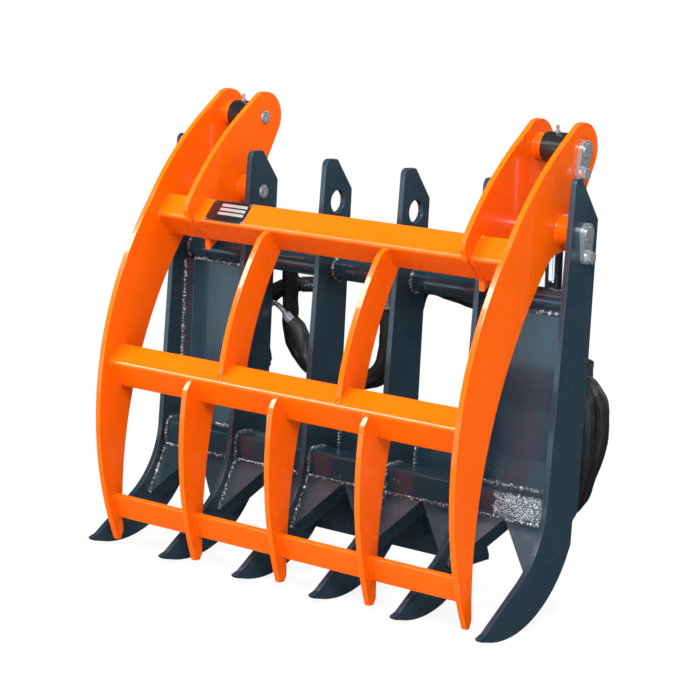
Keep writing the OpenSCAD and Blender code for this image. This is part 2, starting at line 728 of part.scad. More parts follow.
module rod_seal() {
    color(seal_rubber) on_cylinder() difference() {
        stretch(rod_r + 4 - pin_gap, gland_start - 2, gland_start + 6);
        stretch(rod_r + pin_gap, gland_start - 3, gland_start + 7);
    }
}

rake_plate(0);  // rake_plate_1
rake_plate(1);  // rake_plate_2
rake_plate(2);  // rake_plate_3
rake_plate(3);  // rake_plate_4
rake_plate(4);  // rake_plate_5
rake_plate(5);  // rake_plate_6
round_cross_tube();
square_cross_tube();
gussets_left_faces();
gussets_right_faces();
on_left() guard_sheet();  // guard_sheet_left
guard_sheet();  // guard_sheet_right
quick_attach_plate();
quick_attach_cheeks();
on_left() cylinder_lugs();  // cylinder_lugs_left
cylinder_lugs();  // cylinder_lugs_right
on_left() pivot_pin();  // pivot_pin_left
pivot_pin();  // pivot_pin_right
base_pins();
pivot_keeper_bolts();
pivot_keeper_washers();
on_left() clamp_arm();  // clamp_arm_left
clamp_arm();  // clamp_arm_right
on_left() clamp_ear();  // clamp_ear_left
clamp_ear();  // clamp_ear_right
beam(upper_beam_apex, upper_beam_tilt);  // upper_beam
beam(middle_beam_apex, middle_beam_tilt);  // middle_beam
upper_tine(-upper_tine_x);  // upper_tine_left
upper_tine(upper_tine_x);  // upper_tine_right
lower_tine(-lower_tine_x);  // lower_tine_left
lower_tine(0);  // lower_tine_middle
lower_tine(lower_tine_x);  // lower_tine_right
tie_bars();
pivot_bosses();
cylinder_bosses();
on_left() top_pin_piece();  // top_pin_left
top_pin_piece();  // top_pin_right
top_keeper_bolts();
top_keeper_washers();
on_left() rod();  // rod_left
rod();  // rod_right
on_left() rod_eye();  // rod_eye_left
rod_eye();  // rod_eye_right
on_left() piston();  // piston_left
piston();  // piston_right
on_left() piston_nut();  // piston_nut_left
piston_nut();  // piston_nut_right
on_left() grease_nipple();  // grease_nipple_left
grease_nipple();  // grease_nipple_right
on_left() barrel();  // barrel_left
barrel();  // barrel_right
on_left() gland();  // gland_left
gland();  // gland_right
on_left() rod_seal();  // rod_seal_left
rod_seal();  // rod_seal_right
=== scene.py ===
"""Looks of the root rake grapple: paint, weld beads, hoses, bare rating plate and studio stage.

Each group of pieces has its own operator, listed in the Grapple tab of the 3D view's sidebar.
Sizes are in metres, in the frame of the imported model.
"""
import json
import math

import bpy
from mathutils import Matrix, Vector

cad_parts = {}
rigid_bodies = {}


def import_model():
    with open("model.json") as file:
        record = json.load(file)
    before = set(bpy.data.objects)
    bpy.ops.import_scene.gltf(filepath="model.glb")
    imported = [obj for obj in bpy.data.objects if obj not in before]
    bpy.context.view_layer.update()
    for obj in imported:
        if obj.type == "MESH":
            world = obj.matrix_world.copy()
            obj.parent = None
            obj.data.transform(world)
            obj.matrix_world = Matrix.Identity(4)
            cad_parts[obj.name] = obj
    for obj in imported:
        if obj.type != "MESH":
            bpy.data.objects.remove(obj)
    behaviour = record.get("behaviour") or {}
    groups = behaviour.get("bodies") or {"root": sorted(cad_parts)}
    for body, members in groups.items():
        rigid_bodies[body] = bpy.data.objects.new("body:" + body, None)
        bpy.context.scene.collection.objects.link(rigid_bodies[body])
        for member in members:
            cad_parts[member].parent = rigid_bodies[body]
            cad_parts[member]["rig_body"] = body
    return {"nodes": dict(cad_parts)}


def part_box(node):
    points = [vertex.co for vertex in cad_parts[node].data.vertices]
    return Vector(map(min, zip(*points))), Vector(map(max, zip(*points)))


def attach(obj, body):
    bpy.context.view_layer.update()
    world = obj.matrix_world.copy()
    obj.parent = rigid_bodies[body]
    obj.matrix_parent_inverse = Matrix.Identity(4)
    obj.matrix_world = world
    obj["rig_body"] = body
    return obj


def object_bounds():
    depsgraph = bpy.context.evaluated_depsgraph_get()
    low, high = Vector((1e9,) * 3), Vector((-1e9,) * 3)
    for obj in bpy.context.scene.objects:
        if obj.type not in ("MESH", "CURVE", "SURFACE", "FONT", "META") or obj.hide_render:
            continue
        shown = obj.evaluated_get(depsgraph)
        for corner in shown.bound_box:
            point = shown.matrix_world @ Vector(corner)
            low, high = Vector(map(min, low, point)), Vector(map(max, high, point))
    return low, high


bl_info = {
    "name": "Root Rake Grapple Looks",
    "version": (1, 0, 0),
    "blender": (4, 5, 0),
    "location": "View3D > Sidebar > Grapple",
    "description": "Paints the grapple, lays its weld beads and hoses and sets up its studio",
    "category": "Object",
}

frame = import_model()
cad_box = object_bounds()

MM = 0.001
PLATES = [f"rake_plate_{i}" for i in range(1, 7)]

# Lines of the part that the beads follow, as (y, z) and lengths in millimetres, leans in degrees
UPPER_APEX, UPPER_TILT = (-148, -50), 41
MIDDLE_APEX, MIDDLE_TILT = (-266.5, -317), 54
BEAM_FACE, BEAM_TOP = 63, 53
TINE_ON_UPPER, TINE_ON_MIDDLE, LOWER_TINE_SEAM = (5, 52), (5, 50), (5, 58)
TIE_TOP, TIE_HEIGHT, TIE_LEAN = (-239, -573.5), 48, 23
PIVOT_BOSS_RADIUS, TOP_BOSS_RADIUS = 26, 22
TOP_PIN = (48.5, 135.6)
TUBE_FRONT, TUBE_BACK, TUBE_TOP, TUBE_LOW = -45.4, 5.4, -458.6, -509.4
TUBE_ROUND = 6
ROUND_TUBE, ROUND_TUBE_RADIUS = (17, -125), 21.2
GUSSET_TOP, GUSSET_LENGTH, GUSSET_LEAN = (-43.8, -508), 104, 25.5
GUARD_SIDE = ((-9.5, -410), (-9.5, -147))
GUARD_FOOT, GUARD_TOP, GUARD_TOP_INSET = (-3.6, TUBE_TOP), (5.5, -145.5), 10
ATTACH_SEAM = ((46, -398), (46, -490))

# Beads: sides of the section, radius at an end as a share of the rest, size of the unevenness in metres
BEAD_SIDES, BEAD_END, BEAD_WANDER = 8, 0.6, 0.009

# Colours that no property sets
# A painted highlight: the paler, yellower orange along the clamp's edges stands in for light catching them
ORANGE_EDGE_HIGHLIGHT = (1.0, 0.26, 0.004)
RUBBED_STEEL = (0.72, 0.80, 0.86, 1.0)
# A painted highlight: bright specks on the weld beads stand in for glints of light on their ripples
PAINTED_GLINT = (0.42, 0.50, 0.56, 1.0)
MIRROR_TINT = (0.62, 0.85, 1.0, 1.0)

# Part of the square tube's front that is rubbed bright, as two corners in metres
RUBBED = (0.326, -0.050, -0.507), (0.4325, -0.040, -0.461)

# Round lamps: name, property with the power, size, place, aim, and whether glossy faces mirror them
LAMPS = (("key", "key_power", 1.6, (1.5, -2.4, 1.9), (0, 0, -0.25), True),
         ("fill", "fill_power", 2.2, (-2.8, -1.7, 0.7), (0, 0, -0.3), False),
         ("top", "top_power", 2.0, (0.2, 0.5, 2.6), (0, 0, -0.2), False),
         ("back", "fill_power", 2.0, (1.6, 2.8, 1.2), (0, 0, -0.3), True),
         ("spark", "spark_power", 0.18, (-0.8, -2.6, 1.7), (0, 0, -0.3), True))
STRIP_SIZE, STRIP_PLACE, STRIP_PITCH = (2.6, 0.6), (-1.74, -1.75, 1.5), 49

# Stretches over which the paper goes from shaded to pure white, by metres from the origin, and over
# which its mirror image goes from bright to dark, by Y. For the room the same, by the ray's Y and Z.
PAPER_FADE = (0.75, 1.15)
PAPER_NEAR, PAPER_BEHIND = (-1.75, -1.55), (-0.5, 0.2)
ROOM_FRONT, ROOM_UP = (-0.3, -0.6), (0.04, 0.14)

# The camera that was fitted to the photograph: its place, its right, up and back, and its lens in mm
CAMERA_PLACE = (2.322106, -3.239245, 0.396755)
CAMERA_AXES = ((0.802035, 0.594500, 0.057530), (-0.141379, 0.095381, 0.985350),
               (0.580303, -0.798419, 0.160549))
CAMERA_LENS, CAMERA_SENSOR, CAMERA_SHIFT = 113.395, 36, (-0.0027, -0.0117)

# Routes of the hoses in metres. The right one leaves its cylinder's lower port, loops outside the right
# end plate, crosses behind the guard and hangs from the round tube. Each ends in a coupling.
RIGHT_HOSE = [
    (0.303, 0.116, -0.372), (0.302, 0.117, -0.400), (0.302, 0.117, -0.436), (0.308, 0.112, -0.476),
    (0.327, 0.110, -0.504), (0.355, 0.110, -0.514), (0.385, 0.112, -0.507), (0.408, 0.111, -0.484),
    (0.423, 0.106, -0.440), (0.440, 0.104, -0.388), (0.442, 0.104, -0.338), (0.434, 0.104, -0.300),
    (0.418, 0.098, -0.278), (0.404, 0.084, -0.266), (0.399, 0.066, -0.268), (0.400, 0.048, -0.288),
    (0.396, 0.040, -0.322), (0.382, 0.033, -0.358), (0.360, 0.029, -0.376), (0.334, 0.029, -0.380),
    (0.308, 0.036, -0.372), (0.288, 0.051, -0.356), (0.270, 0.066, -0.338), (0.253, 0.072, -0.312),
    (0.244, 0.074, -0.276), (0.242, 0.076, -0.238), (0.241, 0.077, -0.204), (0.235, 0.074, -0.178),
    (0.220, 0.069, -0.164), (0.200, 0.066, -0.158), (0.145, 0.063, -0.148), (0.088, 0.0607, -0.140),
    (0.062, 0.074, -0.158), (0.044, 0.092, -0.190), (0.032, 0.097, -0.235), (0.014, 0.097, -0.282),
    (-0.018, 0.097, -0.322), (-0.065, 0.097, -0.344), (-0.120, 0.097, -0.350), (-0.175, 0.097, -0.346),
    (-0.217, 0.097, -0.324), (-0.240, 0.097, -0.292), (-0.249, 0.093, -0.258), (-0.246, 0.088, -0.222),
    (-0.243, 0.079, -0.190), (-0.237, 0.068, -0.158), (-0.233, 0.062, -0.120)]
RETURN_HOSE = [
    (0.398, 0.112, -0.240), (0.405, 0.100, -0.262), (0.417, 0.086, -0.290), (0.428, 0.077, -0.320),
    (0.434, 0.075, -0.355), (0.432, 0.076, -0.402), (0.423, 0.080, -0.442), (0.415, 0.082, -0.468),
    (0.404, 0.082, -0.490), (0.380, 0.080, -0.502), (0.350, 0.079, -0.504), (0.322, 0.080, -0.495),
    (0.302, 0.083, -0.472), (0.289, 0.085, -0.440), (0.283, 0.087, -0.400), (0.281, 0.093, -0.360),
    (0.272, 0.102, -0.322), (0.257, 0.104, -0.290), (0.248, 0.106, -0.252), (0.245, 0.107, -0.220),
    (0.245, 0.107, -0.200)]
LEFT_HOSE = [
    (-0.301, 0.086, -0.338), (-0.301, 0.078, -0.322), (-0.301, 0.070, -0.300), (-0.301, 0.064, -0.262),
    (-0.299, 0.067, -0.232), (-0.290, 0.079, -0.208), (-0.276, 0.095, -0.192), (-0.262, 0.105, -0.185),
    (-0.246, 0.108, -0.183)]
LOWER_HOSE = [
    (-0.222, 0.064, -0.250), (-0.206, 0.064, -0.263), (-0.194, 0.064, -0.286), (-0.180, 0.064, -0.312),
    (-0.148, 0.064, -0.332), (-0.110, 0.064, -0.337), (-0.088, 0.0607, -0.338), (-0.066, 0.064, -0.336),
    (-0.038, 0.064, -0.330), (-0.010, 0.064, -0.308), (0.000, 0.064, -0.270), (0.001, 0.064, -0.230),
    (0.001, 0.064, -0.196)]

# The bare hose before the bent steel tube, that tube, and the bent tubes on the cylinders' ports
STUB_HOSE = [
    (-0.278, 0.064, -0.218), (-0.286, 0.064, -0.220), (-0.294, 0.0645, -0.228), (-0.300, 0.065, -0.241)]
ELBOW = [
    (-0.278, 0.064, -0.218), (-0.266, 0.064, -0.219), (-0.254, 0.064, -0.224), (-0.238, 0.064, -0.237)]
PORT_ELBOWS = {
    "low_right": ("barrel_right", [
        (0.350, 0.110, -0.354), (0.350, 0.121, -0.355), (0.347, 0.126, -0.356), (0.338, 0.126, -0.361),
        (0.318, 0.124, -0.366), (0.304, 0.118, -0.374)]),
    "top_right": ("barrel_right", [
        (0.350, 0.102, -0.219), (0.350, 0.116, -0.220), (0.354, 0.122, -0.220), (0.366, 0.123, -0.221),
        (0.384, 0.121, -0.228), (0.399, 0.111, -0.243)]),
    "low_left": ("barrel_left", [
        (-0.350, 0.110, -0.354), (-0.350, 0.121, -0.355), (-0.345, 0.125, -0.355), (-0.326, 0.122, -0.353),
        (-0.313, 0.110, -0.348), (-0.306, 0.096, -0.342), (-0.301, 0.084, -0.336)])}
PORT_TUBE_RADIUS = 0.0068
HEX, ROUND = 6, 40

# Rating plate in metres: thickness of its sheet, its black field and a blank bar, and its rivets
SHEET_THICK, FIELD_THICK, BAR_THICK = 0.0010, 0.0004, 0.0003
FIELD_INSET, RIVET_INSET, RIVET_RADIUS = 0.002, 0.0035, 0.0018


# -------------------- sizes and colours

def metres(name, description, default, low=0.0):
    return bpy.props.FloatProperty(name=name, description=description, subtype="DISTANCE", unit="LENGTH",
                                   min=low, default=default)


def watts(name, description, default):
    return bpy.props.FloatProperty(name=name, description=description, subtype="POWER", min=0,
                                   default=default)


def amount(name, description, default):
    return bpy.props.FloatProperty(name=name, description=description, min=0, default=default)


def rgb(name, description, default):
    return bpy.props.FloatVectorProperty(name=name, description=description, subtype="COLOR", size=3,
                                         min=0, max=1, default=default)


class GrapplePaint(bpy.types.PropertyGroup):
    frame_colour: rgb("Frame paint", "Colour of the slate frame paint", (0.014, 0.032, 0.048))
    clamp_colour: rgb("Clamp paint", "Colour of the orange clamp paint", (0.71, 0.090, 0.0))
    edge_radius: metres("Edge radius", "Rounding that the paint gives to a cut edge", 0.0016)


class GrappleWelds(bpy.types.PropertyGroup):
    frame_leg: metres("Frame bead radius", "Radius of a bead's section on the frame", 0.0052, 0.001)
    clamp_leg: metres("Clamp bead radius", "Radius of a bead's section on the clamp", 0.0034, 0.001)
    ripple: metres("Ripple pitch", "Distance from one ripple of a bead to the next", 0.0064, 0.001)
    pinch: bpy.props.FloatProperty(
        name="Pinch", description="Radius between two ripples, as a share of the bead's",
        subtype="FACTOR", min=0.3, max=1, default=0.6)
    rough: metres("Unevenness", "How far a bead wanders from its line", 0.0012)


class GrappleHoses(bpy.types.PropertyGroup):
    sleeve: metres("Sleeve radius", "Radius of the woven sleeve over a hose", 0.0146, 0.008)
    bare: metres("Hose radius", "Radius of a hose without its sleeve", 0.008, 0.004)
    elbow: metres("Elbow radius", "Radius of the bent steel tube at a hose's end", 0.005, 0.002)
    folds: metres("Folds", "Depth of the folds in a sleeve", 0.006)


class GrapplePlate(bpy.types.PropertyGroup):
    left: metres("Left edge", "X of the rating plate's left edge", -0.278, -1.0)
    width: metres("Width", "Width of the rating plate", 0.090, 0.01)
    height: metres("Height", "Height of the rating plate", 0.047, 0.01)


class GrappleStage(bpy.types.PropertyGroup):
    key_power: watts("Key light", "Power of the large soft light at the front", 150)
    fill_power: watts("Fill light", "Power of the soft lights at the left and at the back", 30)
    top_power: watts("Top light", "Power of the soft light above", 90)
    spark_power: watts("Spark light", "Power of the small light that glints on edges and beads", 40)
    strip_power: watts("Strip light", "Power of the long lamp that draws a line along the edges", 105)
    mirror_front: amount("Front reflection", "Level that glossy faces mirror from the front", 1.8)
    mirror_near: amount("Near reflection", "Level that they mirror from the floor near the part", 0.08)
    mirror_back: amount("Back reflection", "Level that they mirror from behind and above", 0.06)
    world_level: amount("Room light", "Level of the even light from all sides", 0.35)


# -------------------- helpers

def deselect():
    """Leaves edit mode and takes everything out of the selection."""
    if bpy.context.object and bpy.context.object.mode != "OBJECT":
        bpy.ops.object.mode_set(mode="OBJECT")
    bpy.ops.object.select_all(action="DESELECT")


def activate(*pieces):
    """Makes the pieces the only selected ones, the first of them the active one."""
    deselect()
    for piece in pieces:
        piece.select_set(True)
    bpy.context.view_layer.objects.active = pieces[0]


def pick(piece, kind, test):
    """Enters edit mode with those vertices, edges or faces selected for which test holds."""
    activate(piece)
    mesh = piece.data
    bpy.ops.object.mode_set(mode="EDIT")
    bpy.ops.mesh.select_mode(type={"vertices": "VERT", "edges": "EDGE", "polygons": "FACE"}[kind])
    bpy.ops.mesh.select_all(action="DESELECT")
    bpy.ops.object.mode_set(mode="OBJECT")
    for item in getattr(mesh, kind):
        item.select = test(item)
    bpy.ops.object.mode_set(mode="EDIT")


def joined(pieces):
    """Makes one piece of several."""
    activate(*pieces)
    bpy.ops.object.join()
    return bpy.context.object


def edge_dir(mesh, edge):
    """The unit vector along an edge."""
    a, b = (mesh.vertices[i].co for i in edge.vertices)
    return (b - a).normalized()


def place(piece, matrix):
    """Moves the mesh itself, so that the object stays at the origin."""
    piece.matrix_world = Matrix.Identity(4)
    piece.data.transform(matrix)
    piece.data.update()


def settle(piece):
    """Applies an object's place to its mesh."""
    activate(piece)
    bpy.ops.object.transform_apply(location=True, rotation=True, scale=True)


def apply_all(piece):
    """Applies an object's modifiers, from the first to the last."""
    activate(piece)
    for name in [m.name for m in piece.modifiers]:
        bpy.ops.object.modifier_apply(modifier=name)


def make_uneven(piece, name, kind, size, strength):
    """Adds a displacement by a texture, which pieces share by its name."""
    activate(piece)
    bpy.ops.object.modifier_add(type="DISPLACE")
    uneven = piece.modifiers[-1]
    uneven.texture = bpy.data.textures.get(name) or bpy.data.textures.new(name, kind)
    uneven.texture.noise_scale = size
    uneven.texture_coords = "LOCAL"
    uneven.strength = strength
    uneven.mid_level = 0.5


def finish_piece(piece, name, body, material, angle=40):
    """Names, smooths and dresses a piece and hands it to its body and material slot."""
    piece.name = name
    piece.data.name = name
    activate(piece)
    bpy.ops.object.shade_smooth_by_angle(angle=math.radians(angle))
    dress(piece, material)
    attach(piece, body)


def painted(body):
    """The CAD nodes of a body that are painted, by name: all but its pins and keeper bolts."""
    return {name: piece for name, piece in frame["nodes"].items()
            if piece["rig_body"] == body and "pin" not in name and "keeper" not in name}


def dress(piece, material):
    """Puts a material on every slot of a piece."""
    if not piece.data.materials:
        piece.data.materials.append(material)
    for i in range(len(piece.data.materials)):
        piece.data.materials[i] = material


def yz(point, x):
    """A (y, z) point in millimetres, in the plane at x metres."""
    return Vector((x, point[0] * MM, point[1] * MM))


def on_beam(apex, tilt, along, up):
    """A (y, z) point of a beam's section, measured from its forward corner."""
    c, s = math.cos(math.radians(tilt)), math.sin(math.radians(tilt))
    return (apex[0] + along * c + up * s, apex[1] - along * s + up * c)


# -------------------- shader node groups

class Nodes:
    """Short hand for wiring a node tree."""

    def __init__(self, tree):
        self.tree = tree
        tree.nodes.clear()

    def add(self, kind, inputs=None, **settings):
        node = self.tree.nodes.new(kind)
        for key, value in settings.items():
            setattr(node, key, value)
        self.fill(node, inputs or {})
        return node

    def fill(self, node, inputs):
        for key, value in inputs.items():
            self.feed(node.inputs[key], value)

    def feed(self, socket, value):
        if isinstance(value, bpy.types.NodeSocket):
            self.tree.links.new(value, socket)
        elif value is not None:
            socket.default_value = value

    def math(self, operation, a, b=None, clamp=False):
        return self.add("ShaderNodeMath", {0: a, 1: b}, operation=operation, use_clamp=clamp).outputs[0]

    def mix(self, factor, a, b):
        node = self.add("ShaderNodeMix", {"Factor": factor, "A": a, "B": b}, data_type="RGBA")
        return node.outputs["Result"]

    def times(self, a, b):
        return self.math("MULTIPLY", a, b)

    def most(self, values):
        """The largest of several values."""
        largest = values[0]
        for value in values[1:]:
            largest = self.math("MAXIMUM", largest, value)
        return largest

    def coords(self, kind="Object"):
        return self.add("ShaderNodeTexCoord").outputs[kind]

    def noise(self, vector, scale, detail, **inputs):
        inputs = {"Vector": vector, "Scale": scale, "Detail": detail, **inputs}
        return self.add("ShaderNodeTexNoise", inputs).outputs["Fac"]

    def bump(self, height, strength, distance, normal=None):
        return self.add("ShaderNodeBump", {"Height": height, "Normal": normal, "Strength": strength,
                                           "Distance": distance}).outputs["Normal"]

    def span(self, value, low, high, to_low=0.0, to_high=1.0):
        """Maps low to high onto to_low to to_high, and holds the ends."""
        return self.add("ShaderNodeMapRange", {
            "Value": value, "From Min": low, "From Max": high, "To Min": to_low,
            "To Max": to_high}).outputs["Result"]


SOCKETS = {float: "NodeSocketFloat", Vector: "NodeSocketVector"}


def new_group(name, inputs, outputs):
    """A node group with inputs as {label: default} and outputs as {label: type}."""
    group = bpy.data.node_groups.new(name, "ShaderNodeTree")
    nodes = Nodes(group)
    for label, default in inputs.items():
        socket = group.interface.new_socket(label, in_out="INPUT", socket_type=SOCKETS[type(default)])
        socket.default_value = default
    for label, kind in outputs.items():
        group.interface.new_socket(label, in_out="OUTPUT", socket_type=SOCKETS[kind])
    source = nodes.add("NodeGroupInput").outputs
    sink = nodes.add("NodeGroupOutput").inputs
    return nodes, source, sink


def group_edge():
    """Where an edge is: a mask along it, and a normal that rounds it."""
    nodes, source, sink = new_group(
        "Rounded edge", {"Radius": 0.0015}, {"Edge": float, "Normal": Vector})
    bevel = nodes.add("ShaderNodeBevel", {"Radius": source["Radius"]}, samples=4)
    plain = nodes.add("ShaderNodeNewGeometry")
    dot = nodes.add("ShaderNodeVectorMath", {0: bevel.outputs["Normal"], 1: plain.outputs["Normal"]},
                    operation="DOT_PRODUCT")
    nodes.feed(sink["Edge"], nodes.span(dot.outputs["Value"], 0.995, 0.86))
    nodes.feed(sink["Normal"], bevel.outputs["Normal"])


def group_film():
    """Sprayed paint: orange peel, slow changes of tone and fine dust."""
    nodes, source, sink = new_group(
        "Paint film", {"Peel Scale": 260.0, "Dust": 0.3},
        {"Height": float, "Tone": float, "Dust": float})
    place_of = nodes.coords()
    tone = nodes.noise(place_of, 7.0, 4.0)
    specks = nodes.span(nodes.noise(place_of, 900.0, 1.0), 0.66, 0.74)
    patches = nodes.span(nodes.noise(place_of, 22.0, 3.0), 0.3, 0.8)
    nodes.feed(sink["Height"], nodes.noise(place_of, source["Peel Scale"], 2.0, Roughness=0.4))
    nodes.feed(sink["Tone"], nodes.span(tone, 0.3, 0.7))
    nodes.feed(sink["Dust"], nodes.times(nodes.times(specks, patches), source["Dust"]))


def stretched_lines(nodes, turn, stretch, scale, distortion, low, high):
    """Noise drawn out into lines, kept where it is above low and full above high."""
    spun = nodes.add("ShaderNodeMapping", {"Vector": nodes.coords(), "Rotation": turn, "Scale": stretch})
    return nodes.span(nodes.noise(spun.outputs["Vector"], scale, 2.0, Distortion=distortion), low, high)


def group_scratches():
    """Long thin marks, as on metal that has been rubbed."""
    nodes, source, sink = new_group("Scratches", {"Amount": 0.5}, {"Mask": float})
    marks = nodes.most([
        stretched_lines(nodes, (turn, turn * 0.7, turn * 1.3), (1.0, stretch, 1.0), 60.0, 0.3,
                        0.69, 0.73)
        for turn, stretch in ((0.5, 26.0), (-0.9, 34.0), (1.9, 30.0))])
    near = nodes.span(nodes.noise(nodes.coords(), 14.0, 2.0), 0.45, 0.6)
    nodes.feed(sink["Mask"], nodes.times(nodes.times(marks, near), source["Amount"]))


def group_hairs():
    """Short crossing hair lines, as on a face that rubbing has worn bright."""
    nodes, _, sink = new_group("Hairs", {}, {"Mask": float})
    nodes.feed(sink["Mask"], nodes.most([
        stretched_lines(nodes, (0, turn, 0), (1.0, 1.0, 4.5), 260.0, 0.5, 0.57, 0.6)
        for turn in (0.9, -0.6)]))


def group_weave():
    """Over and under of a diagonal weave, on a piece's own UV map."""
    nodes, _, sink = new_group("Weave", {}, {"Height": float})
    bands = []
    for turn in (math.radians(45), math.radians(-45)):
        spun = nodes.add("ShaderNodeMapping", {"Vector": nodes.coords("UV"), "Rotation": (0, 0, turn)})
        wave = nodes.add("ShaderNodeTexWave", {"Vector": spun.outputs["Vector"], "Scale": 14.0,
                                               "Distortion": 0.6, "Detail": 1.0})
        bands.append(wave.outputs["Fac"])
    nodes.feed(sink["Height"], nodes.most(bands))


def group_box():
    """One inside a box of Object coordinates, fading over 6 mm with an uneven edge."""
    nodes, source, sink = new_group(
        "Inside box", {"Centre": Vector((0, 0, 0)), "Half": Vector((1, 1, 1))}, {"Mask": float})
    place_of = nodes.coords()
    off = nodes.add("ShaderNodeVectorMath", {0: place_of, 1: source["Centre"]}, operation="SUBTRACT")
    away = nodes.add("ShaderNodeVectorMath", {0: off.outputs["Vector"]}, operation="ABSOLUTE")
    left = nodes.add("ShaderNodeVectorMath", {0: source["Half"], 1: away.outputs["Vector"]},
                     operation="SUBTRACT")
    axes = nodes.add("ShaderNodeSeparateXYZ", {"Vector": left.outputs["Vector"]}).outputs
    depth = nodes.math("MINIMUM", nodes.math("MINIMUM", axes["X"], axes["Y"]), axes["Z"])
    uneven = nodes.span(nodes.noise(place_of, 120.0, 2.0), 0.3, 0.7, -0.6, 0.6)
    share = nodes.math("DIVIDE", depth, 0.006)
    nodes.feed(sink["Mask"], nodes.span(nodes.math("ADD", share, uneven), 0.0, 1.0))


def group_node(nodes, name, **inputs):
    """A use of a node group, with _ for a space in an input's label."""
    node = nodes.add("ShaderNodeGroup", node_tree=bpy.data.node_groups[name])
    nodes.fill(node, {key.replace("_", " "): value for key, value in inputs.items()})
    return node.outputs


# -------------------- materials

def new_material(name):
    material = bpy.data.materials.new(name)
    material.use_nodes = True
    nodes = Nodes(material.node_tree)
    shader = nodes.add("ShaderNodeBsdfPrincipled")
    nodes.add("ShaderNodeOutputMaterial", {"Surface": shader.outputs["BSDF"]})
    return material, nodes, shader


def grey(level):
    return (level, level, level, 1.0)


def rgba(colour):
    return (colour[0], colour[1], colour[2], 1.0)


def lighter(colour, share):
    return tuple(c + (1 - c) * share for c in colour[:3]) + (1.0,)


def darker(colour, share):
    return tuple(c * (1 - share) for c in colour[:3]) + (1.0,)


def paint(name, colour, edge_highlight, radius, scratches=0.0, dust=0.4, roughness=(0.2, 0.34),
          specular=0.5, coat=0.35, rubbed=None, specks=False):
    """Glossy sprayed paint, shinier along edges and paler there as a painted highlight, with dust, and
    with what else is asked for:
    rub marks, a box rubbed bright, and bright specks on a weld bead, which are painted glints."""
    material, nodes, shader = new_material(name)
    edge = group_node(nodes, "Rounded edge", Radius=radius)
    film = group_node(nodes, "Paint film", Dust=dust)
    base = nodes.mix(film["Tone"], darker(colour, 0.04), darker(colour, -0.04))
    # Painted highlight: the edge mask mixes the paler edge colour in along every edge
    base = nodes.mix(nodes.times(edge["Edge"], 0.6), base, rgba(edge_highlight))
    base = nodes.mix(film["Dust"], base, lighter(colour, 0.3))
    if scratches:
        marks = group_node(nodes, "Scratches", Amount=scratches)
        base = nodes.mix(marks["Mask"], base, lighter(colour, 0.5))
    if rubbed:
        low, high = (Vector(corner) for corner in rubbed)
        inside = group_node(nodes, "Inside box", Centre=(low + high) / 2, Half=(high - low) / 2)
        hairs = group_node(nodes, "Hairs")
        base = nodes.mix(nodes.times(inside["Mask"], hairs["Mask"]), base, RUBBED_STEEL)
    # Painted highlight: bright specks that stand in for glints of light on a weld bead
    if specks:
        glints = nodes.noise(nodes.coords(), 190.0, 2.0)
        base = nodes.mix(nodes.span(glints, 0.56, 0.62), base, PAINTED_GLINT)
    nodes.fill(shader, {
        "Base Color": base,
        "Roughness": nodes.span(film["Tone"], 0.0, 1.0, *roughness),
        "Specular IOR Level": nodes.span(edge["Edge"], 0.0, 1.0, specular, 0.9),
        "Coat Weight": coat,
        "Coat Roughness": 0.07,
        "Coat Normal": edge["Normal"],
        "Normal": nodes.bump(film["Height"], 0.1, 0.0006, edge["Normal"])})
    return material


def metal(name, colour, roughness, grain=0.3, metallic=1.0):
    """Bare or plated steel with turned grain and small marks."""
    material, nodes, shader = new_material(name)
    edge = group_node(nodes, "Rounded edge", Radius=0.0008)
    film = group_node(nodes, "Paint film", Peel_Scale=900.0, Dust=0.5)
    marks = group_node(nodes, "Scratches", Amount=grain)
    base = nodes.mix(film["Tone"], darker(colour, 0.2), rgba(colour))
    base = nodes.mix(marks["Mask"], base, darker(colour, 0.4))
    # Painted highlight: edges mixed paler
    base = nodes.mix(nodes.times(edge["Edge"], 0.5), base, lighter(colour, 0.4))
    nodes.fill(shader, {
        "Base Color": base,
        "Metallic": metallic,
        "Roughness": nodes.span(film["Tone"], 0.0, 1.0, roughness * 0.7, roughness * 1.3),
        "Normal": nodes.bump(film["Height"], 0.08, 0.0003, edge["Normal"])})
    return material


def fabric(name):
    """Black woven nylon with a soft sheen and creases along it."""
    material, nodes, shader = new_material(name)
    film = group_node(nodes, "Paint film", Dust=0.5)
    weave = group_node(nodes, "Weave")
    long = nodes.add("ShaderNodeMapping", {"Vector": nodes.coords("UV"), "Scale": (0.5, 3.0, 1.0)})
    creases = nodes.noise(long.outputs["Vector"], 1.6, 3.0, Distortion=0.8)
    # Painted shade: the weave is darker where it lies low, between the threads
    base = nodes.mix(weave["Height"], grey(0.003), grey(0.014))
    soft = nodes.bump(creases, 0.9, 0.012)
    nodes.fill(shader, {
        "Base Color": nodes.mix(film["Dust"], base, grey(0.12)),
        "Roughness": nodes.span(film["Tone"], 0.0, 1.0, 0.38, 0.5),
        "Specular IOR Level": 0.4,
        "Normal": nodes.bump(weave["Height"], 0.3, 0.0006, soft)})
    return material


def rubber(name):
    """Matt black rubber."""
    material, nodes, shader = new_material(name)
    film = group_node(nodes, "Paint film", Peel_Scale=1400.0, Dust=0.8)
    nodes.fill(shader, {
        "Base Color": nodes.mix(film["Dust"], grey(0.012), grey(0.09)),
        "Roughness": nodes.span(film["Tone"], 0.0, 1.0, 0.5, 0.7),
        "Normal": nodes.bump(film["Height"], 0.3, 0.0003)})
    return material


# -------------------- weld beads

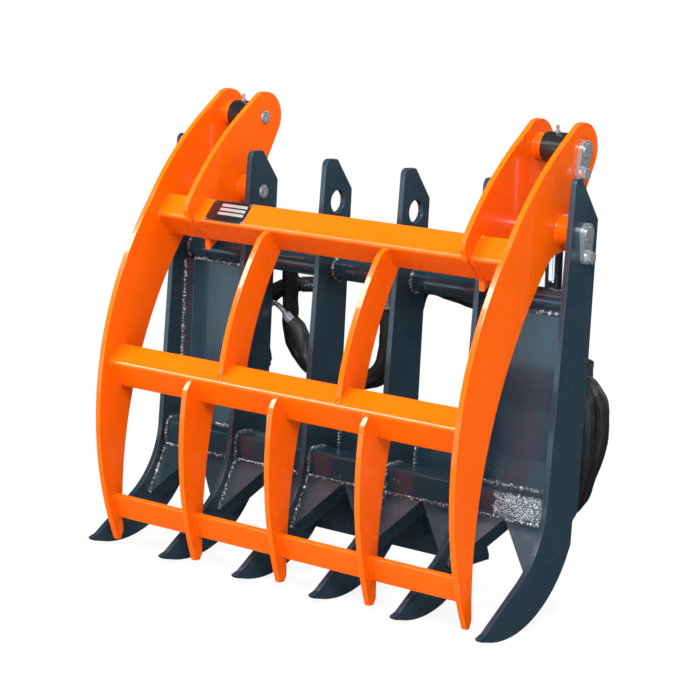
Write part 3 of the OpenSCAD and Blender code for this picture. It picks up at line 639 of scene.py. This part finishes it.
class Beads:
    """Weld beads of one radius, laid one by one and then joined into one piece."""

    def __init__(self, welds, leg):
        self.welds, self.leg = welds, leg
        self.laid = []
        self.stock = {}

    def modelled(self, ripples):
        """A closed bead along +X from the origin, modelled once for each number of ripples."""
        if ripples in self.stock:
            return self.stock[ripples]
        pitch, pinch = self.welds.ripple, self.welds.pinch
        deselect()
        bpy.ops.mesh.primitive_cylinder_add(
            vertices=BEAD_SIDES, radius=self.leg, depth=pitch, end_fill_type="NOTHING",
            location=(pitch / 2, 0, 0), rotation=(0, math.pi / 2, 0))
        bead = bpy.context.object
        settle(bead)
        mesh = bead.data
        pick(bead, "edges", lambda e: abs(edge_dir(mesh, e).x) > 0.9)
        bpy.ops.mesh.subdivide(number_cuts=1)
        pick(bead, "vertices", lambda v: abs(v.co.x - pitch / 2) > pitch / 4)
        bpy.ops.transform.resize(value=(1, pinch, pinch), center_override=(0, 0, 0))
        activate(bead)
        bpy.ops.object.modifier_add(type="ARRAY")
        array = bead.modifiers[-1]
        array.count = ripples
        array.use_relative_offset = False
        array.use_constant_offset = True
        array.constant_offset_displace = (pitch, 0, 0)
        array.use_merge_vertices = True
        array.merge_threshold = pitch / 50
        apply_all(bead)
        end = ripples * pitch
        pick(bead, "vertices", lambda v: v.co.x < pitch / 4 or v.co.x > end - pitch / 4)
        bpy.ops.transform.resize(value=(1, BEAD_END, BEAD_END), center_override=(0, 0, 0))
        bpy.ops.mesh.select_all(action="SELECT")
        bpy.ops.mesh.fill_holes(sides=BEAD_SIDES)
        bpy.ops.mesh.normals_make_consistent(inside=False)
        deselect()
        self.stock[ripples] = bead
        return bead

    def lay(self, a, b):
        """Lays a bead from point a to point b."""
        length = (b - a).length
        ripples = max(2, round(length / self.welds.ripple))
        source = self.modelled(ripples)
        bead = source.copy()
        bead.data = source.data.copy()
        bpy.context.scene.collection.objects.link(bead)
        ahead = (b - a).normalized()
        side = ahead.orthogonal().normalized()
        turn = Matrix((ahead, side, ahead.cross(side))).transposed().to_4x4()
        stretch = Matrix.Diagonal((length / (ripples * self.welds.ripple), 1, 1, 1))
        place(bead, Matrix.Translation(a) @ turn @ stretch)
        self.laid.append(bead)

    def straight(self, start, end, x, other=None):
        """Lays a bead in the plane at x, or one that runs on to the plane at other."""
        self.lay(yz(start, x), yz(end, x if other is None else other))

    def loop(self, section, x):
        """Lays beads round a tube's section with its rounded corners, in the plane at x."""
        ends = []  # two for each corner, where its rounding starts and ends
        for i, corner in enumerate(section):
            at = Vector(corner)
            for other in (section[i - 1], section[(i + 1) % len(section)]):
                ends.append(tuple(at + (Vector(other) - at).normalized() * TUBE_ROUND))
        for start, end in zip(ends, ends[1:] + ends[:1]):
            self.straight(start, end, x)

    def ring(self, centre, radius, x):
        """Lays a bead round a tube or boss along X, of a radius in millimetres."""
        deselect()
        radius *= MM
        ripples = round(2 * math.pi * radius / self.welds.ripple)
        bpy.ops.mesh.primitive_torus_add(
            major_segments=2 * ripples, minor_segments=BEAD_SIDES, major_radius=radius,
            minor_radius=self.leg, location=yz(centre, x), rotation=(0, math.pi / 2, 0))
        ring = bpy.context.object
        settle(ring)
        pick(ring, "vertices", lambda v: v.index // BEAD_SIDES % 2 == 0)
        bpy.ops.transform.shrink_fatten(value=-self.leg * (1 - self.welds.pinch))
        deselect()
        self.laid.append(ring)

    def join(self, name, body, material, slot):
        """Makes one uneven piece of the beads and removes those that they were copied from."""
        piece = joined(self.laid)
        make_uneven(piece, "bead_unevenness", "CLOUDS", BEAD_WANDER, self.welds.rough)
        apply_all(piece)
        finish_piece(piece, name, body, bpy.data.materials[material], angle=60)
        for bead in self.stock.values():
            bpy.data.objects.remove(bead)


# -------------------- operators

class GRAPPLE_OT_paint_frame(bpy.types.Operator):
    """Paint the rake frame slate"""
    bl_idname = "grapple.paint_frame"
    bl_label = "Paint frame"

    def execute(self, context):
        look = context.scene.grapple_paint
        # A painted highlight: a paler slate along the frame's edges
        edges = lighter(look.frame_colour, 0.09)
        slate = paint("slate_paint", look.frame_colour, edges, look.edge_radius)
        tubes = paint("rubbed_slate_paint", look.frame_colour, edges, look.edge_radius,
                      scratches=0.3, roughness=(0.1, 0.2), rubbed=RUBBED)
        # The beads: a slightly paler slate with painted glints, both painted highlights for light on the
        # weld ripples
        paint("slate_beads", lighter(look.frame_colour, 0.03), edges, look.edge_radius,
              roughness=(0.05, 0.12), specular=0.8, coat=1.0, specks=True)
        for name, piece in painted("frame").items():
            dress(piece, tubes if "tube" in name else slate)
        return {"FINISHED"}


class GRAPPLE_OT_paint_clamp(bpy.types.Operator):
    """Paint the clamp orange"""
    bl_idname = "grapple.paint_clamp"
    bl_label = "Paint clamp"

    def execute(self, context):
        look = context.scene.grapple_paint
        # The edge colour is a painted highlight along the clamp's edges
        orange = paint("orange_paint", look.clamp_colour, ORANGE_EDGE_HIGHLIGHT, look.edge_radius, dust=0.2,
                       specular=0.1, coat=0.6)
        for piece in painted("clamp").values():
            dress(piece, orange)
        return {"FINISHED"}


class GRAPPLE_OT_finish_hardware(bpy.types.Operator):
    """Give pins, bolts and cylinders their metal, paint and rubber"""
    bl_idname = "grapple.finish_hardware"
    bl_label = "Finish hardware"

    def execute(self, context):
        look = context.scene.grapple_paint
        zinc = metal("zinc_plate", (0.58, 0.62, 0.66), 0.24, grain=0.9, metallic=0.75)
        chrome = metal("hard_chrome", (0.80, 0.81, 0.83), 0.07, grain=0.12)
        # The second colour is a painted highlight along the black paint's edges
        black = paint("cylinder_black", (0.010, 0.010, 0.011), (0.06, 0.06, 0.065),
                      look.edge_radius)
        seal = rubber("seal_rubber")
        for name, piece in frame["nodes"].items():
            if name.startswith("rod_seal"):
                dress(piece, seal)
            elif name.startswith(("rod_eye", "barrel", "gland")):
                dress(piece, black)
            elif name.startswith("rod_"):
                dress(piece, chrome)
            elif any(word in name for word in ("pin", "keeper", "nipple", "piston")):
                dress(piece, zinc)
        return {"FINISHED"}


class GRAPPLE_OT_weld_frame(bpy.types.Operator):
    """Lay the weld beads of the rake frame"""
    bl_idname = "grapple.weld_frame"
    bl_label = "Weld frame"

    def execute(self, context):
        welds = context.scene.grapple_welds
        beads = Beads(welds, welds.frame_leg)
        faces = [(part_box(name)[0].x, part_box(name)[1].x) for name in PLATES]
        bays = [(faces[i][1], faces[i + 1][0]) for i in range(len(PLATES) - 1)]
        tube = [(TUBE_FRONT, TUBE_TOP), (TUBE_FRONT, TUBE_LOW),
                (TUBE_BACK, TUBE_LOW), (TUBE_BACK, TUBE_TOP)]
        under_tube = (TUBE_FRONT + TUBE_ROUND / 2, TUBE_LOW + TUBE_ROUND / 4)
        lean = math.radians(GUSSET_LEAN)
        gusset_end = (GUSSET_TOP[0] - GUSSET_LENGTH * math.sin(lean),
                      GUSSET_TOP[1] - GUSSET_LENGTH * math.cos(lean))
        for left, right in bays:
            for x in (left, right):
                beads.loop(tube, x)
                beads.straight(GUSSET_TOP, gusset_end, x)
                beads.ring(ROUND_TUBE, ROUND_TUBE_RADIUS, x)
            beads.straight(under_tube, under_tube, left, right)
        for left, right in (bays[0], bays[-1]):
            for x in (left, right):
                beads.straight(*GUARD_SIDE, x)
            beads.straight(GUARD_FOOT, GUARD_FOOT, left, right)
            inset = GUARD_TOP_INSET * MM
            beads.straight(GUARD_TOP, GUARD_TOP, left + inset, right - inset)
        for walls in faces[2:4]:
            for x in walls:
                beads.straight(*ATTACH_SEAM, x)
        lug_seam = ((TUBE_BACK, TUBE_TOP - TUBE_ROUND), (TUBE_BACK, TUBE_LOW + TUBE_ROUND))
        for name in ("cylinder_lugs_left", "cylinder_lugs_right"):
            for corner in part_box(name):
                beads.straight(*lug_seam, corner.x)
        beads.join("frame_welds", "frame", "slate_beads", "frame_paint")
        return {"FINISHED"}


class GRAPPLE_OT_weld_clamp(bpy.types.Operator):
    """Lay the weld beads of the clamp"""
    bl_idname = "grapple.weld_clamp"
    bl_label = "Weld clamp"

    def execute(self, context):
        welds = context.scene.grapple_welds
        beads = Beads(welds, welds.clamp_leg)
        arm = [corner.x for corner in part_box("clamp_arm_right")]
        ear = [corner.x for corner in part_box("clamp_ear_right")]
        corners = ((0, 0), (BEAM_FACE, 0), (BEAM_FACE, BEAM_TOP), (0, BEAM_TOP))
        for apex, tilt, walls in ((UPPER_APEX, UPPER_TILT, (arm[0], *ear)),
                                  (MIDDLE_APEX, MIDDLE_TILT, (arm[0],))):
            section = [on_beam(apex, tilt, *corner) for corner in corners]
            for x in walls:
                for side in (-1, 1):
                    beads.loop(section, side * x)
        upper_seam = [on_beam(UPPER_APEX, UPPER_TILT, t, 0) for t in TINE_ON_UPPER]
        middle_seam = [on_beam(MIDDLE_APEX, MIDDLE_TILT, 0, t) for t in TINE_ON_MIDDLE]
        for name in ("upper_tine_left", "upper_tine_right"):
            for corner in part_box(name):
                beads.straight(*upper_seam, corner.x)
                beads.straight(*middle_seam, corner.x)
        lower_seam = [on_beam(MIDDLE_APEX, MIDDLE_TILT, t, 0) for t in LOWER_TINE_SEAM]
        tie_walls = [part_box("clamp_arm_left")[1].x, arm[0]]
        for name in ("lower_tine_left", "lower_tine_middle", "lower_tine_right"):
            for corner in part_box(name):
                beads.straight(*lower_seam, corner.x)
                tie_walls.append(corner.x)
        lean = math.radians(TIE_LEAN)
        tie_foot = (TIE_TOP[0] + TIE_HEIGHT * math.sin(lean), TIE_TOP[1] - TIE_HEIGHT * math.cos(lean))
        for x in tie_walls:
            beads.straight(TIE_TOP, tie_foot, x)
        for side in (-1, 1):
            for x in (arm[1], ear[0]):
                beads.ring((0, 0), PIVOT_BOSS_RADIUS, side * x)
            for x in (arm[0], ear[1]):
                beads.ring(TOP_PIN, TOP_BOSS_RADIUS, side * x)
        beads.join("clamp_welds", "clamp", "orange_paint", "clamp_paint")
        return {"FINISHED"}


class GRAPPLE_OT_lay_hoses(bpy.types.Operator):
    """Lay the hoses in their woven sleeves, with their couplings and bent steel tubes"""
    bl_idname = "grapple.lay_hoses"
    bl_label = "Lay hoses"

    def execute(self, context):
        size = context.scene.grapple_hoses
        cloth, black = fabric("hose_fabric"), rubber("hose_rubber")
        zinc = bpy.data.materials["zinc_plate"]
        dark = metal("coupling_steel", (0.30, 0.31, 0.32), 0.34)
        routes = {"right": RIGHT_HOSE, "return": RETURN_HOSE, "left": LEFT_HOSE, "lower": LOWER_HOSE}
        for name, route in routes.items():
            sleeve = self.tube(route, size.sleeve, steps=14)
            self.crumple(sleeve, size.folds)
            finish_piece(sleeve, "hose_" + name, "frame", cloth, angle=75)
        stub = self.tube(STUB_HOSE, size.bare, steps=8)
        finish_piece(stub, "hose_stub", "frame", black, angle=75)
        couplings = joined([self.coupling(route) for route in routes.values()])
        finish_piece(couplings, "hose_couplings", "frame", dark, angle=30)
        elbow_end = Vector(ELBOW[-1])
        nut = self.turned([(2 * size.elbow, 0.0206, HEX)], elbow_end,
                          Vector(LOWER_HOSE[0]) - elbow_end)
        elbow = joined([self.tube(ELBOW, size.elbow, steps=10), nut])
        finish_piece(elbow, "hose_elbow", "frame", zinc)
        for name, (body, route) in PORT_ELBOWS.items():
            start = Vector(route[0])
            way = Vector(route[1]) - start
            nut = self.turned([(0.0105, 0.008, HEX)], start + way * 0.55, way)
            elbow = joined([self.tube(route, PORT_TUBE_RADIUS, steps=8), nut])
            finish_piece(elbow, "port_elbow_" + name, body, zinc)
        return {"FINISHED"}

    def tube(self, route, radius, steps):
        """A closed round tube on a smooth curve through the route's points. Its UV map counts, along the
        tube as round it, in lengths of its own girth."""
        data = bpy.data.curves.new("route", "CURVE")
        data.dimensions = "3D"
        data.resolution_u = steps
        data.bevel_depth = radius
        data.bevel_resolution = 8
        data.use_fill_caps = True
        spline = data.splines.new("BEZIER")
        spline.bezier_points.add(len(route) - 1)
        for knot, at in zip(spline.bezier_points, route):
            knot.co = at
            knot.handle_left_type = knot.handle_right_type = "AUTO"
        turns = spline.calc_length() / (2 * math.pi * radius)
        made = bpy.data.objects.new("route", data)
        bpy.context.scene.collection.objects.link(made)
        activate(made)
        bpy.ops.object.convert(target="MESH")
        made = bpy.context.object
        for corner in made.data.uv_layers[0].data:
            corner.uv.x *= turns
        return made

    def crumple(self, sleeve, depth):
        """The sag and the folds of a sleeve that is looser than its hose."""
        make_uneven(sleeve, "sleeve_sag", "CLOUDS", 0.07, depth)
        make_uneven(sleeve, "sleeve_folds", "MUSGRAVE", 0.03, depth * 0.2)
        apply_all(sleeve)

    def turned(self, steps, start, way):
        """Round or many-sided steps of (radius, length, sides), one after the other along way."""
        turn = way.to_track_quat("Z", "Y").to_matrix().to_4x4()
        made, along = [], 0.0
        for radius, length, sides in steps:
            deselect()
            bpy.ops.mesh.primitive_cylinder_add(vertices=sides, radius=radius, depth=length,
                                                location=(0, 0, along + length / 2))
            step = bpy.context.object
            settle(step)
            bpy.ops.object.modifier_add(type="BEVEL")
            step.modifiers[-1].width = min(0.0006, length / 4)
            step.modifiers[-1].segments = 2
            apply_all(step)
            made.append(step)
            along += length
        whole = joined(made)
        place(whole, Matrix.Translation(start) @ turn)
        return whole

    def coupling(self, route):
        """A coupling at a hose's end: its hex, its grooved sleeve and its nose."""
        ring, groove = (0.015, 0.0062, ROUND), (0.0138, 0.0018, ROUND)
        steps = [(0.0135, 0.009, HEX), *(ring, groove) * 3, ring, (0.012, 0.008, ROUND)]
        return self.turned(steps, Vector(route[-1]), Vector(route[-1]) - Vector(route[-2]))


class GRAPPLE_OT_rating_plate(bpy.types.Operator):
    """Rivet the bare rating plate to the upper beam"""
    bl_idname = "grapple.rating_plate"
    bl_label = "Rating plate"

    def execute(self, context):
        size = context.scene.grapple_plate
        w, h = size.width, size.height
        steel = metal("plate_steel", (0.66, 0.66, 0.66), 0.28)
        # The second colour is a painted highlight along the ink's edges
        ink = paint("plate_black", (0.008, 0.008, 0.009), (0.02, 0.02, 0.02), 0.0002,
                    roughness=(0.3, 0.45))
        bare = metal("plate_bare_field", (0.74, 0.72, 0.70), 0.35, metallic=0.6)
        sheet = self.block(w, h, SHEET_THICK, 0.0, 0.0, 0.0)
        field = self.block(w - 2 * FIELD_INSET, h - 2 * FIELD_INSET, FIELD_THICK, 0.0, 0.0, SHEET_THICK)
        top = SHEET_THICK + FIELD_THICK
        bar = joined([self.block(w * 0.66, h * 0.13, BAR_THICK, w * 0.1, h * (0.28 - 0.2 * k), top)
                      for k in range(3)])
        rivet = joined([self.rivet(sx * (w / 2 - RIVET_INSET), sy * (h / 2 - RIVET_INSET), top)
                        for sx in (-1, 1) for sy in (-1, 1)])
        c, s = math.cos(math.radians(UPPER_TILT)), math.sin(math.radians(UPPER_TILT))
        up, out = Vector((0, s, c)), Vector((0, -c, s))
        centre = yz(on_beam(UPPER_APEX, UPPER_TILT, 0, BEAM_TOP / 2), size.left + w / 2)
        turn = Matrix((Vector((1, 0, 0)), up, out)).transposed().to_4x4()
        for piece, name, material in (
                (sheet, "rating_plate", steel), (field, "rating_plate_field", ink),
                (bar, "rating_plate_bars", bare), (rivet, "rating_plate_rivets", steel)):
            place(piece, Matrix.Translation(centre) @ turn)
            finish_piece(piece, name, "clamp", material, angle=35)
        return {"FINISHED"}

    def block(self, w, h, t, x, y, z):
        """A thin plate with rounded corners, centred on x, y and standing on z."""
        deselect()
        bpy.ops.mesh.primitive_cube_add(size=1, location=(x, y, z + t / 2), scale=(w, h, t))
        plate = bpy.context.object
        settle(plate)
        mesh = plate.data
        pick(plate, "edges", lambda e: abs(edge_dir(mesh, e).z) > 0.9)
        bpy.ops.mesh.bevel(offset=min(w, h) * 0.06, segments=4)
        pick(plate, "edges", lambda e: all(mesh.vertices[i].co.z > z + t / 2 for i in e.vertices))
        bpy.ops.mesh.bevel(offset=t * 0.3, segments=2)
        deselect()
        return plate

    def rivet(self, x, y, z):
        """A low round head that stands in the plate's face, its middle at x, y, z."""
        deselect()
        bpy.ops.mesh.primitive_uv_sphere_add(segments=16, ring_count=8, radius=RIVET_RADIUS,
                                             location=(x, y, z))
        head = bpy.context.object
        settle(head)
        pick(head, "vertices", lambda v: True)
        seat = (0, 0, z - FIELD_THICK / 2)
        bpy.ops.mesh.bisect(plane_co=seat, plane_no=(0, 0, 1), clear_inner=True, use_fill=True)
        bpy.ops.mesh.select_all(action="SELECT")
        bpy.ops.transform.resize(value=(1, 1, 0.6), center_override=seat)
        deselect()
        return head


class GRAPPLE_OT_stage(bpy.types.Operator):
    """Set up the floor, the lights and the camera"""
    bl_idname = "grapple.stage"
    bl_label = "Stage"

    def execute(self, context):
        stage = context.scene.grapple_stage
        scene = context.scene
        scene.view_settings.view_transform = "Standard"
        self.world(scene, stage)
        self.floor(stage)
        for name, power, size, where, aim, mirrored in LAMPS:
            turn = (Vector(where) - Vector(aim)).to_track_quat("Z", "Y").to_euler()
            lamp = self.lamp(name, getattr(stage, power), "DISK", (size, size), where, turn)
            lamp.visible_glossy = mirrored
        self.strip(stage)
        self.camera(scene)
        return {"FINISHED"}

    def world(self, scene, stage):
        """White for the camera, even light for matt faces. Glossy faces mirror a room that is bright low
        in front of the part and dark elsewhere, as in the photograph."""
        world = bpy.data.worlds.new("studio")
        scene.world = world
        world.use_nodes = True
        nodes = Nodes(world.node_tree)
        rays = nodes.add("ShaderNodeLightPath").outputs
        seen = nodes.math("ADD", rays["Is Camera Ray"], rays["Is Transmission Ray"], clamp=True)
        axes = nodes.add("ShaderNodeSeparateXYZ", {"Vector": nodes.coords("Generated")}).outputs
        ahead, up = axes["Y"], axes["Z"]
        low_in_front = nodes.times(nodes.span(ahead, *ROOM_FRONT),
                                   nodes.span(up, *ROOM_UP, 1.0, 0.0))
        mirrored = nodes.span(low_in_front, 0.0, 1.0, stage.mirror_back, stage.mirror_front)
        level = nodes.add("ShaderNodeMix", {"Factor": rays["Is Glossy Ray"], "A": stage.world_level,
                                            "B": mirrored})
        tint = nodes.mix(rays["Is Glossy Ray"], grey(1.0), MIRROR_TINT)
        room = nodes.add("ShaderNodeBackground", {"Color": tint, "Strength": level.outputs["Result"]})
        white = nodes.add("ShaderNodeBackground", {"Color": grey(1.0), "Strength": 1.0})
        both = nodes.add("ShaderNodeMixShader", {0: seen, 1: room.outputs[0], 2: white.outputs[0]})
        nodes.add("ShaderNodeOutputWorld", {"Surface": both.outputs[0]})

    def floor(self, stage):
        """White paper that takes a faint shadow near the part and is pure white further out. Glossy faces
        mirror it bright in front, and dark near the part and behind it."""
        deselect()
        bpy.ops.mesh.primitive_plane_add(size=14, location=(0, 0, cad_box[0].z - 0.0005))
        floor = bpy.context.object
        floor.name = "floor"
        settle(floor)
        material = bpy.data.materials.new("floor")
        material.use_nodes = True
        nodes = Nodes(material.node_tree)
        rays = nodes.add("ShaderNodeLightPath").outputs
        lit = nodes.add("ShaderNodeBsdfDiffuse", {"Color": grey(0.86)})
        white = nodes.add("ShaderNodeEmission", {"Color": grey(1.0), "Strength": 1.0})
        place_of = nodes.add("ShaderNodeNewGeometry").outputs["Position"]
        away = nodes.add("ShaderNodeVectorMath", {0: place_of}, operation="LENGTH").outputs["Value"]
        share = nodes.span(away, *PAPER_FADE, 0.86, 1.0)
        ahead = nodes.add("ShaderNodeSeparateXYZ", {"Vector": place_of}).outputs["Y"]
        mirrored = nodes.times(nodes.span(ahead, *PAPER_NEAR, stage.mirror_front, stage.mirror_near),
                               nodes.span(ahead, *PAPER_BEHIND, 1.0, 0.2))
        mirror = nodes.add("ShaderNodeEmission", {"Color": MIRROR_TINT, "Strength": mirrored})
        paper = nodes.add("ShaderNodeMixShader", {0: rays["Is Glossy Ray"], 1: lit.outputs[0],
                                                  2: mirror.outputs[0]})
        both = nodes.add("ShaderNodeMixShader", {0: nodes.times(rays["Is Camera Ray"], share),
                                                 1: paper.outputs[0], 2: white.outputs[0]})
        nodes.add("ShaderNodeOutputMaterial", {"Surface": both.outputs[0]})
        dress(floor, material)

    def lamp(self, name, power, shape, size, where, turn):
        light = bpy.data.lights.new(name, "AREA")
        light.energy = power
        light.shape = shape
        light.size, light.size_y = size
        lamp = bpy.data.objects.new(name, light)
        bpy.context.scene.collection.objects.link(lamp)
        lamp.location = where
        lamp.rotation_euler = turn
        return lamp

    def strip(self, stage):
        """A long lamp along X that lights the orange pieces only, whose rounded edges mirror it as a
        white line."""
        turn = (math.radians(STRIP_PITCH), 0, 0)
        lamp = self.lamp("strip", stage.strip_power, "RECTANGLE", STRIP_SIZE, STRIP_PLACE, turn)
        lit = bpy.data.collections.new("lit by strip")
        for piece in bpy.data.objects:
            if piece.type == "MESH" and "orange_paint" in piece.data.materials:
                lit.objects.link(piece)
        lamp.light_linking.receiver_collection = lit

    def camera(self, scene):
        """The photograph's own view, with its slight roll."""
        data = bpy.data.cameras.new("camera")
        camera = bpy.data.objects.new("camera", data)
        scene.collection.objects.link(camera)
        scene.camera = camera
        data.sensor_width = CAMERA_SENSOR
        data.lens = CAMERA_LENS
        data.shift_x, data.shift_y = CAMERA_SHIFT
        data.clip_end = 60
        turn = Matrix(CAMERA_AXES).transposed().to_4x4()
        camera.matrix_world = Matrix.Translation(CAMERA_PLACE) @ turn


OPERATORS = (GRAPPLE_OT_paint_frame, GRAPPLE_OT_paint_clamp, GRAPPLE_OT_finish_hardware,
             GRAPPLE_OT_weld_frame, GRAPPLE_OT_weld_clamp, GRAPPLE_OT_lay_hoses, GRAPPLE_OT_rating_plate,
             GRAPPLE_OT_stage)
GROUPS = {"grapple_paint": GrapplePaint, "grapple_welds": GrappleWelds, "grapple_hoses": GrappleHoses,
          "grapple_plate": GrapplePlate, "grapple_stage": GrappleStage}


class GRAPPLE_PT_panel(bpy.types.Panel):
    """Lists what dresses the grapple"""
    bl_label = "Grapple"
    bl_idname = "GRAPPLE_PT_panel"
    bl_space_type = "VIEW_3D"
    bl_region_type = "UI"
    bl_category = "Grapple"

    def draw(self, context):
        for name, group in GROUPS.items():
            box = self.layout.box()
            for key in group.__annotations__:
                box.prop(getattr(context.scene, name), key)
        for operator in OPERATORS:
            self.layout.operator(operator.bl_idname)


def register():
    for cls in (*GROUPS.values(), *OPERATORS, GRAPPLE_PT_panel):
        bpy.utils.register_class(cls)
    for name, group in GROUPS.items():
        setattr(bpy.types.Scene, name, bpy.props.PointerProperty(type=group))


def unregister():
    for name in GROUPS:
        delattr(bpy.types.Scene, name)
    for cls in reversed((*GROUPS.values(), *OPERATORS, GRAPPLE_PT_panel)):
        bpy.utils.unregister_class(cls)


def main():
    register()
    for make_group in (group_edge, group_film, group_scratches, group_hairs, group_weave, group_box):
        make_group()
    bpy.ops.grapple.paint_frame()
    bpy.ops.grapple.paint_clamp()
    bpy.ops.grapple.finish_hardware()
    bpy.ops.grapple.weld_frame()
    bpy.ops.grapple.weld_clamp()
    bpy.ops.grapple.lay_hoses()
    bpy.ops.grapple.rating_plate()
    bpy.ops.grapple.stage()


if __name__ == "__main__":
    main()
